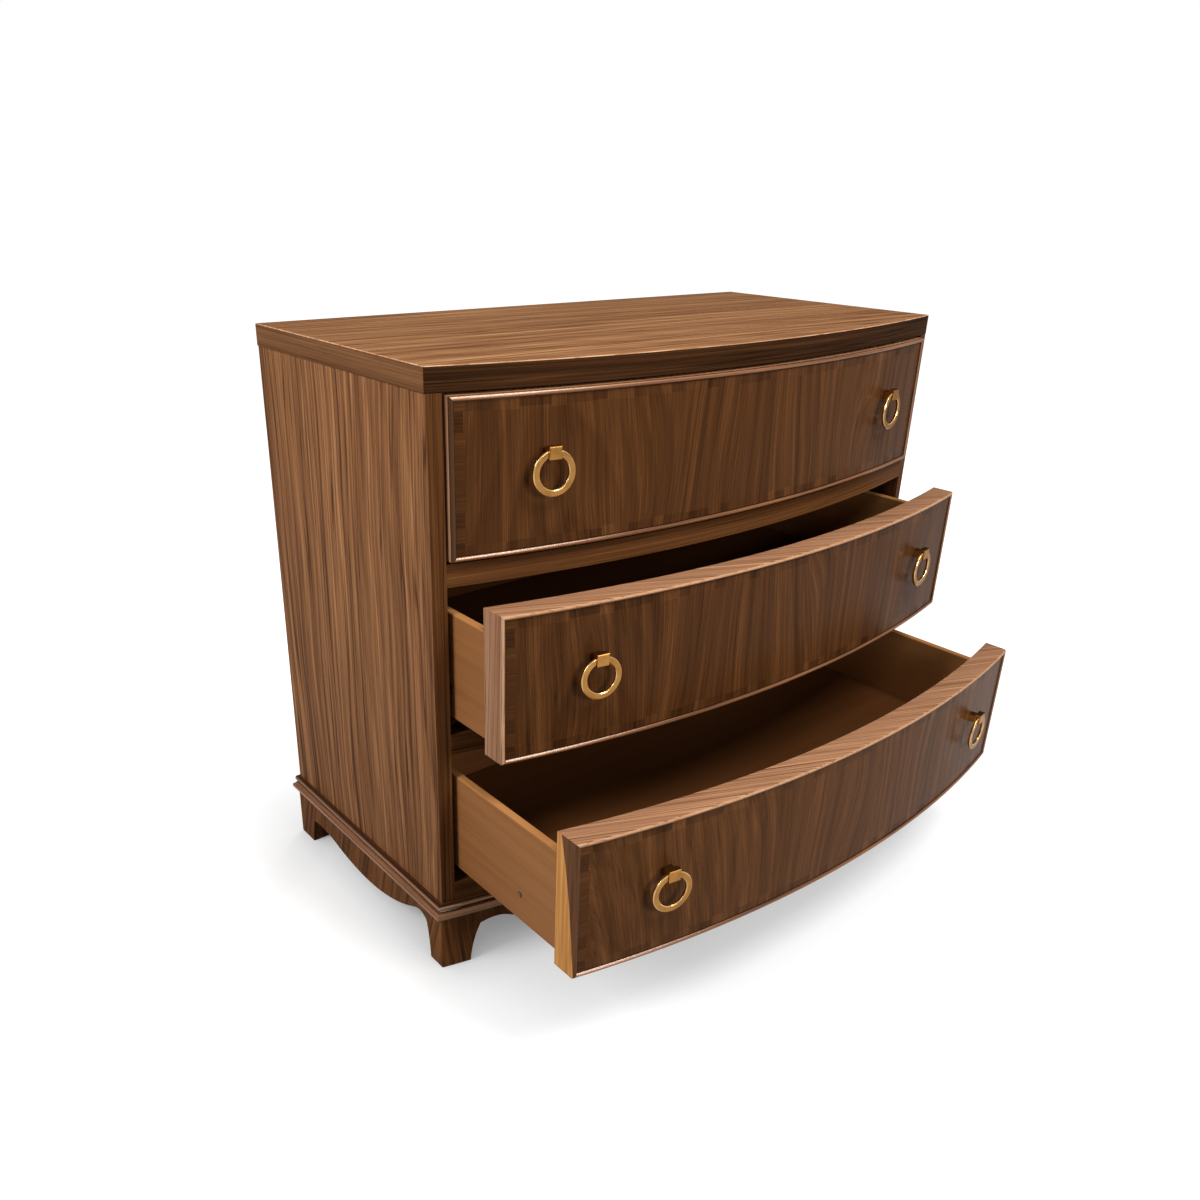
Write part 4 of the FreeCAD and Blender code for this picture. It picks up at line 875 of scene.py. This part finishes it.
back = np.where(aside < BASE_INNER, inner_bow, inner_corner + into_mitre * (outer_corner - inner_corner))
sections = base_sections(across, low, bow(across, BASE_REACH), back)
dress("front_base", "case", *swept(sections), [base_walnut], ["apron_front"], "walnut_base",
      ease=BASE_EASE)

# %% The side boards of the base
TOE_Y = CORNER_Y + 0.029
belly_y = CORNER_Y + BELLY_START * CASE_DEPTH
front_edge = foot_edge(TOE_Y, 0.009, 0.0625, 0.018, 0.0705, belly_y, 0.1, 1)
rear_edge = foot_edge(BACK_Y - HEEL, 0.009, 0.0455, 0.019, 0.049, belly_y, 0.4, -1)
toe_run = np.linspace(outer_corner + MITRE_END * (inner_corner - outer_corner), TOE_Y, 9)[:-1]
heel_run = np.linspace(BACK_Y - HEEL, BACK_Y, 6)[1:]
edge = np.concatenate([np.stack([toe_run, 0 * toe_run], axis=-1), front_edge, rear_edge[-2::-1],
                       np.stack([heel_run, 0 * heel_run], axis=-1)])
along, low = edge.T
inner_face = BASE_OUTER - (BASE_OUTER - BASE_INNER) * np.clip(
    (along - outer_corner) / (inner_corner - outer_corner), 0, 1)
for name, hand in HAND.items():
    sections = base_sections(along, low, hand * BASE_OUTER + 0 * along, hand * inner_face)
    sections = sections[..., [1, 0, 2]]
    dress(f"{name}_base", "case", *swept(sections), [base_side_walnut], [f"apron_{name}"],
          "walnut_base", ease=BASE_EASE)

# %% [markdown]
# ## Drawer fronts
# A drawer front is a bowed board, veneered on its face, with a solid edging let in all round and
# mitred at its corners. The edging stands a little past the veneer, is rounded over like a small bead
# and has a fine quirk beside the veneer. Seen from above, a drawn drawer shows the edging as one pale
# strip of slanting grain. Upright and level lengths are cut from different sticks. The bead wears its
# own finish, over its whole round on the closed drawer and below, and from its crest inwards elsewhere.
# Its glaze paints a shade by the quirk and a highlight on the crest. The lower lengths keep the outer
# half of the nose bare as well, a painted highlight there, and the bead at the left ends is a darker
# copy, a painted shade.

# %% The section of the edging
NOSE_SPREAD, NOSE_HEIGHT, QUIRK = 0.0066, 0.0036, 0.0035


def edging_walk():
    """Inward places and depths: a half ellipse for the nose, the quirk, and the eased back arris."""
    nose, back = quarter(17, 2), quarter(5)
    ease = 0.0012
    parts = [
        (NOSE_SPREAD / 2 * (1 - np.cos(nose)), EDGING_PROUD - NOSE_HEIGHT + NOSE_HEIGHT * np.sin(nose),
         np.minimum(1.5 * np.sin(nose), 1)),
        ([NOSE_SPREAD, EDGING], [QUIRK, QUIRK], [0.0, 0.0]),
        ([EDGING], [FRONT_BACK], [0.0]),
        (ease * (1 - np.sin(back)), FRONT_BACK + ease * (1 - np.cos(back)), 0 * back),
    ]
    return (np.concatenate([part[number] for part in parts]) for number in (0, 1, 2))


# %% Veneered faces and their edging
# The third walk gives how far the glaze is wiped round the nose, which also places a painted highlight on
# the crest and a painted shade by the quirk.
inward, outward, edging_bare_and_lit = edging_walk()
NOSE_OUTER, NOSE_CREST, NOSE_INNER = 0, 8, 17
# On the lower lengths the outer half of the nose is wiped bare as well: a painted highlight on a half
# that turns down from the light.
lower_bare_and_lit = np.where(np.arange(len(edging_bare_and_lit)) < NOSE_CREST, 1.0, edging_bare_and_lit)


def on_the_nose(sections, first):
    """1 for the faces of a swept edging from the place first to the quirk, 0 for the others."""
    place = np.arange(sections.shape[1])
    return np.concatenate([np.tile((place >= first) & (place <= NOSE_INNER), len(sections) - 1),
                           [False, False]])


def front_face(drawer):
    """The veneered board inside the edging, with a map measured from its middle."""
    low, high = FRONT_LOW[drawer] + EDGING, FRONT_LOW[drawer] + FRONT_HEIGHT - EDGING
    thickness = VENEER_PROUD - FRONT_BACK
    points, faces, _ = rolled_board((-PANEL_HALF, 0.0, low), (PANEL_HALF, thickness, high), 0.0004,
                                    (96, 4, 20))
    points = laid_on_bow(points, thickness, lambda across: bow(across, VENEER_PROUD) - OPENED[drawer],
                         lambda across: bow(across, FRONT_BACK) - OPENED[drawer])
    lay = points[faces.ravel()][:, [0, 2]] - (0.0, (low + high) / 2)
    dress(f"front_face_{drawer}", f"drawer_{drawer}", points, faces, [front_walnut],
          [f"drawer_{drawer}_front", f"drawer_{drawer}_bead"], "walnut_front", maps={"lay": lay})


def edging(name, drawer, across, height, coats, first, bare_and_lit=edging_bare_and_lit):
    """A length of edging through stations that are given across and up; its bead starts at first."""
    sections = np.stack([across, bow(across, outward) - OPENED[drawer], height], axis=-1)
    dress(name, f"drawer_{drawer}", *swept(sections), coats,
          [f"drawer_{drawer}_front", f"drawer_{drawer}_bead"], "walnut_bead",
          coat_of_face=on_the_nose(sections, first), maps=maps_of_bar(sections, bare_and_lit))


def level_edging(drawer, top):
    """The upper or lower length, mitred at both ends."""
    share = np.linspace(-1, 1, 121)[:, None]
    across = share * (FRONT_HALF - inward)
    height = FRONT_LOW[drawer] + (FRONT_HEIGHT - inward if top else inward) + 0 * across
    edging(f"{'upper' if top else 'lower'}_edging_{drawer}", drawer, across, height,
           [level_walnut, bead_walnut], NOSE_CREST if top and drawer > 1 else NOSE_OUTER,
           edging_bare_and_lit if top else lower_bare_and_lit)


def upright_edging(drawer, name, hand):
    """The length down one end, mitred at both ends."""
    share = np.linspace(0, 1, 40)[:, None]
    height = FRONT_LOW[drawer] + inward + share * (FRONT_HEIGHT - 2 * inward)
    across = hand * (FRONT_HALF - inward) + 0 * height
    coat = sapwood if (drawer, name) == (3, "left") else upright_walnut
    # The left ends take the darker bead, a painted shade; the right ends take the lighter one.
    bead = bead_walnut if name == "right" else shaded_upright_bead_walnut
    edging(f"{name}_edging_{drawer}", drawer, across, height, [coat, bead],
           NOSE_CREST if drawer > 1 else NOSE_OUTER)


for drawer in DRAWERS:
    front_face(drawer)
    level_edging(drawer, True)
    level_edging(drawer, False)
    for name, hand in HAND.items():
        upright_edging(drawer, name, hand)

# %% [markdown]
# ## Drawer boxes
# Behind each front stands a plain box. Its sides are thin boards with rounded upper edges and a groove
# for the bottom, and their front ends are cut to the bow. The back stands on the bottom, and the
# bottom keeps the frame's own solid with a darker finish, a painted shade.

# %% Grooved sides and the back of each box
BOX_LOW = {drawer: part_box(f"drawer_{drawer}_side_right")[0] for drawer in DRAWERS}
BOX_HIGH = {drawer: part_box(f"drawer_{drawer}_side_right")[1] for drawer in DRAWERS}
BOX_INNER, BOX_OUTER = BOX_LOW[1].x, BOX_HIGH[1].x
BOX_HEIGHT = BOX_HIGH[1].z - BOX_LOW[1].z
GROOVE_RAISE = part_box("drawer_1_bottom")[0].z - BOX_LOW[1].z
GROOVE_WIDTH, GROOVE_DEPTH = 0.0062, 0.006
SIDE_SEAT = FRONT_BACK - 0.0001
EDGE_BAND = 0.0026


def side_walk(ease=0.0025, foot=0.0006):
    """Across and up from the inner face: the groove, the rounded upper edge and the eased foot."""
    turn = quarter(6)
    wall = BOX_OUTER - BOX_INNER
    lip = GROOVE_RAISE + GROOVE_WIDTH
    parts = [
        ([foot, wall - foot, wall], [0.0, 0.0, foot]),
        (wall - ease * (1 - np.cos(turn)), BOX_HEIGHT - ease * (1 - np.sin(turn))),
        (ease * (1 - np.sin(turn)), BOX_HEIGHT - ease * (1 - np.cos(turn))),
        ([0.0, GROOVE_DEPTH, GROOVE_DEPTH, 0.0, 0.0], [lip, lip, GROOVE_RAISE, GROOVE_RAISE, foot]),
    ]
    return (np.concatenate([part[number] for part in parts]) for number in (0, 1))


def box_side(drawer, name, hand):
    """A drawer side, swept back from the bow to the end of the box."""
    across, rise = side_walk()
    across = across + BOX_INNER
    share = np.linspace(0, 1, 24)[:, None]
    start = bow(across, SIDE_SEAT) - OPENED[drawer]
    back = start + share * (BOX_HIGH[drawer].y - start)
    sections = np.stack([hand * across + 0 * back, back, BOX_LOW[drawer].z + rise + 0 * back], axis=-1)
    inside = across < BOX_INNER + GROOVE_DEPTH + 0.0001
    # The rounded upper edge takes the lighter edge wood, a painted highlight, and the inner face the
    # darker inner wood, a painted shade.
    which = np.where(rise > BOX_HEIGHT - EDGE_BAND, 1, np.where(inside, 2, 0))
    which[0] = 0
    dress(f"box_side_{drawer}_{name}", f"drawer_{drawer}", *swept(sections),
          [box_side_wood, box_edge_highlight_wood, box_inner_shaded_wood], [f"drawer_{drawer}_side_{name}"],
          "drawer_side_wood", coat_of_face=np.concatenate([np.tile(which, len(sections) - 1), [0, 0]]))


for drawer in DRAWERS:
    for name, hand in HAND.items():
        box_side(drawer, name, hand)
    low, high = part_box(f"drawer_{drawer}_back")
    dress(f"box_back_{drawer}", f"drawer_{drawer}", *rolled_board(low, high, 0.002, (24, 2, 6))[:2],
          [box_back_wood], [f"drawer_{drawer}_back"], "drawer_inner_wood")

# %% [markdown]
# ## The pulls
# A stem carries a square strap off the front, and a flat ring hangs by a pin that passes through the
# strap. The ring is open behind the strap: its two ends grip the pin, one at each side. The pull
# stands square to the bow where it is, so its places are given along the front, up, and off the front.

# %% Square to the bow at a pull
PULL_ACROSS = 0.352
RING_DROP, RING_RADIUS, RING_BAND, RING_HALF = 0.101, 0.0303, 0.009, 0.0025
RING_BEVEL, RING_STAND, RING_GAP = 0.0012, 0.0155, 0.0093
RING_EASE = 0.0003
PIN_RISE, PIN_RADIUS, PIN_HALF = 0.024, 0.0025, 0.0103


def at_pull(places, drawer, hand):
    """Turn (along, up, off) at a pull into x, y, z; the lean of the bow has sine across / radius."""
    sine = hand * PULL_ACROSS / (BOW_RADIUS + VENEER_PROUD)
    cosine = np.sqrt(1 - sine ** 2)
    along, up, off = places[..., 0], places[..., 1], places[..., 2]
    x = hand * PULL_ACROSS + along * cosine + off * sine
    y = bow(PULL_ACROSS, VENEER_PROUD) - OPENED[drawer] + along * sine - off * cosine
    z = FRONT_LOW[drawer] + FRONT_HEIGHT - RING_DROP + up
    return np.stack([x, y, z], axis=-1)


# %% Rings and pins
def ring_sections():
    """Eight corners of the bevelled band at each turn; its ends stop at the gap beside the strap."""
    wide, deep, bevel = RING_BAND / 2, RING_HALF, RING_BEVEL
    out = np.array([wide - bevel, wide, wide, wide - bevel, bevel - wide, -wide, -wide, bevel - wide])
    off = np.array([deep, deep - bevel, bevel - deep, -deep, -deep, bevel - deep, deep - bevel, deep])
    radius = RING_RADIUS - wide + out
    start = np.arcsin(RING_GAP / radius)
    turn = start + np.linspace(0, 1, 97)[:, None] * (2 * np.pi - 2 * start)
    along, up = radius * np.sin(turn), radius * np.cos(turn)
    return np.stack([along, up, RING_STAND + off + 0 * turn], axis=-1)


def pin_sections():
    """A round rod along the front at the height of the hinge: a circle at each end."""
    turn = np.linspace(0, 2 * np.pi, 33)[:-1]
    along = np.array([-PIN_HALF, PIN_HALF])[:, None] + 0 * turn
    up, off = PIN_RISE + PIN_RADIUS * np.sin(turn), RING_STAND + PIN_RADIUS * np.cos(turn)
    return np.stack([along, up + 0 * along, off + 0 * along], axis=-1)


for drawer in DRAWERS:
    for name, hand in HAND.items():
        node = f"drawer_{drawer}_ring_{name}"
        ring = at_pull(ring_sections(), drawer, hand)
        # The bevels take the paler brass, a painted highlight.
        bevels = np.tile(np.arange(8) % 2 == 0, len(ring) - 1)
        dress(f"ring_{drawer}_{name}", node, *swept(ring), [brass, bevel_highlight_brass], [node], "brass",
              coat_of_face=np.concatenate([bevels, [False, False]]), ease=RING_EASE)
        pin = at_pull(pin_sections(), drawer, hand)
        dress(f"pin_{drawer}_{name}", node, *swept(pin), [brass], [node], "brass")

# %% [markdown]
# ## Parts that keep their solids
# What is plain already, or hardly seen, keeps the frame's solid and only gets its finish: the back and
# bottom of the case, stretchers and blocks, slides, screws, clips, drawer bottoms, and the straps.

# %% Finish the plain parts
def refinish(node, finish):
    """Give every face of a CAD node one finish."""
    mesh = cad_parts[node].data
    mesh.materials.clear()
    mesh.materials.append(finish)


# Inside the case the dark inner case wood and the darker upright raw wood paint shade, as do the darker
# drawer bottoms; the straps' tops carry a painted shade.
plain_parts = {
    "back_panel": raw_upright_shaded_wood, "bottom_panel": inner_case_shaded_wood, "top_stretchers": inner_case_shaded_wood,
    "corner_blocks": raw_upright_shaded_wood, "rear_brackets": raw_wood, "slide_case_members": zinc,
    "case_screws": zinc,
}
for drawer in DRAWERS:
    plain_parts[f"drawer_{drawer}_bottom"] = box_floor_shaded_wood
    plain_parts[f"drawer_{drawer}_slide_members"] = zinc
    plain_parts[f"drawer_{drawer}_slide_carriers"] = zinc
    plain_parts[f"drawer_{drawer}_slide_clips"] = clip_plastic
    plain_parts[f"drawer_{drawer}_screws"] = dull_steel
    plain_parts[f"drawer_{drawer}_pull_posts"] = strap_brass_shaded_top
for node, finish in plain_parts.items():
    refinish(node, finish)
print(len(plain_parts), "solids keep their own mesh")

# %% [markdown]
# ## Studio
# The chest stands on a white sweep under four soft lamps: one from the left, one in front, one overhead
# in front, and a low one behind on the right that opens up the far side. The room itself shows white to
# the camera only. It lights the chest weakly, and polished faces mirror it dimly, because a white
# reflection would turn dark polish grey.

# %% White surroundings
BLACK, WHITE = (0.0, 0.0, 0.0, 1.0), (1.0, 1.0, 1.0, 1.0)
AMBIENT, REFLECTED = 0.13, 0.2
world = bpy.data.worlds.new("white room")
bpy.context.scene.world = world
world.use_nodes = True
world.node_tree.nodes.clear()
room = Wire(world.node_tree)
seen = room.node("LightPath", output="Is Camera Ray")
mirrored = room.node("LightPath", output="Is Glossy Ray")
strength = seen * (1 - AMBIENT) + mirrored * (REFLECTED - AMBIENT) + AMBIENT
light = seen.node("Background", values={"Color": mixed(BLACK, WHITE, strength), "Strength": 1.0})
output = world.node_tree.nodes.new("ShaderNodeOutputWorld")
world.node_tree.links.new(light.socket, output.inputs["Surface"])
print("the room lights with", AMBIENT, "and mirrors with", REFLECTED, "of its white")

# %% [markdown]
# ## The floor
# The floor glows white to the camera. Its glow is turned down near the chest, and most where the chest
# shuts out the open air: a painted shadow round the feet, added to the real shadow on its matt part. For
# light that falls on it, it is matt grey, and polished faces mirror it dimly.

# %% A pale floor that keeps the shadow and carries a painted one
FLOOR_REACH = 9.0
NEAR_MIDDLE, NEAR_HALF = (0.0, -0.1), (0.46, 0.46)
NEAR_GLOW, CORNER_GLOW, MIRRORED_GLOW = 0.7, 0.15, 0.36
GREY, PALE = 0.25, 0.45
floor_mesh = bpy.data.meshes.new("floor")
corners = FLOOR_REACH * np.array([(-1, -1, 0), (1, -1, 0), (1, 1, 0), (-1, 1, 0)])
floor_mesh.from_pydata(corners.tolist(), [], [(0, 1, 2, 3)])
floor = bpy.data.objects.new("floor", floor_mesh)
bpy.context.scene.collection.objects.link(floor)
pale, wire = new_finish("pale floor")
parts = object_parts(wire, "xyz")
beyond = [((part - middle).maths("ABSOLUTE") - half).maths("MAXIMUM", 0.0)
          for part, middle, half in zip(parts, NEAR_MIDDLE, NEAR_HALF)]
gap = (beyond[0] * beyond[0] + beyond[1] * beyond[1]).maths("SQRT")
far = step(gap + cloud(gap, stretched(parts, (3.0, 3.0, 3.0))) * 0.1, 0.08, 0.55)
camera_ray = wire.node("LightPath", output="Is Camera Ray")
glossy_ray = wire.node("LightPath", output="Is Glossy Ray")
bright = camera_ray.maths("MAXIMUM", glossy_ray * MIRRORED_GLOW)
# The glow is dimmed near the chest and where it shuts out the air: a painted shadow.
open_air = wire.node("AmbientOcclusion", {"samples": 12}, {"Distance": 0.22}, output=1)
near_painted_shadow = far * (1 - NEAR_GLOW) + NEAR_GLOW
glow_with_painted_shadow = bright * near_painted_shadow * (open_air * (1 - CORNER_GLOW) + CORNER_GLOW)
matt = wire.node("BsdfDiffuse", values={"Color": mixed(BLACK, WHITE, bright * (PALE - GREY) + GREY)})
lift = wire.node("Emission", values={"Color": mixed(BLACK, WHITE, glow_with_painted_shadow), "Strength": 1.0})
show(wire, wire.node("AddShader", values={0: matt, 1: lift}))
floor_mesh.materials.append(pale)
print("floor of", 2 * FLOOR_REACH, "m")

# %% [markdown]
# ## Lamps and camera
# Large square lamps make soft edges to every shadow. The one behind is kept out of reflections, or it
# would stand as a glare on the top. The camera's place, lens and shifts follow from the lines of the
# chest itself: where its edges meet in the distance, and how tall its corners stand.

# %% Lights
def soft_light(name, power, size, place, aim):
    """A square area light of some watts at a place, turned to look at its aim."""
    lamp = bpy.data.lights.new(name, "AREA")
    lamp.energy = power
    lamp.size = size
    holder = bpy.data.objects.new(name, lamp)
    holder.location = place
    holder.rotation_euler = (Vector(aim) - Vector(place)).to_track_quat("-Z", "Y").to_euler()
    bpy.context.scene.collection.objects.link(holder)
    return holder


soft_light("left light", 70.0, 1.2, (-2.7, 0.3, 2.2), (0.0, 0.1, 0.5))
soft_light("front light", 59.0, 1.1, (0.0, -3.4, 1.8), (0.0, -0.2, 0.4))
soft_light("top light", 61.0, 1.0, (0.35, -1.5, 2.8), (0.0, 0.0, 0.7))
back_light = soft_light("back light", 45.0, 0.9, (2.3, 2.6, 0.7), (0.0, 0.1, 0.4))
back_light.visible_glossy = False

# %% Camera
camera = bpy.data.cameras.new("camera")
camera.lens = 31.1734
camera.sensor_width = 36.0
camera.shift_x = 0.040596
camera.shift_y = 0.054369
eye = bpy.data.objects.new("camera", camera)
eye.location = (-1.16168, -1.11417, 1.07573)
eye.rotation_euler = Euler(np.radians([65.0116, -1.0226, -38.5911]))
bpy.context.scene.collection.objects.link(eye)
bpy.context.scene.camera = eye
bpy.context.scene.view_settings.view_transform = "Standard"
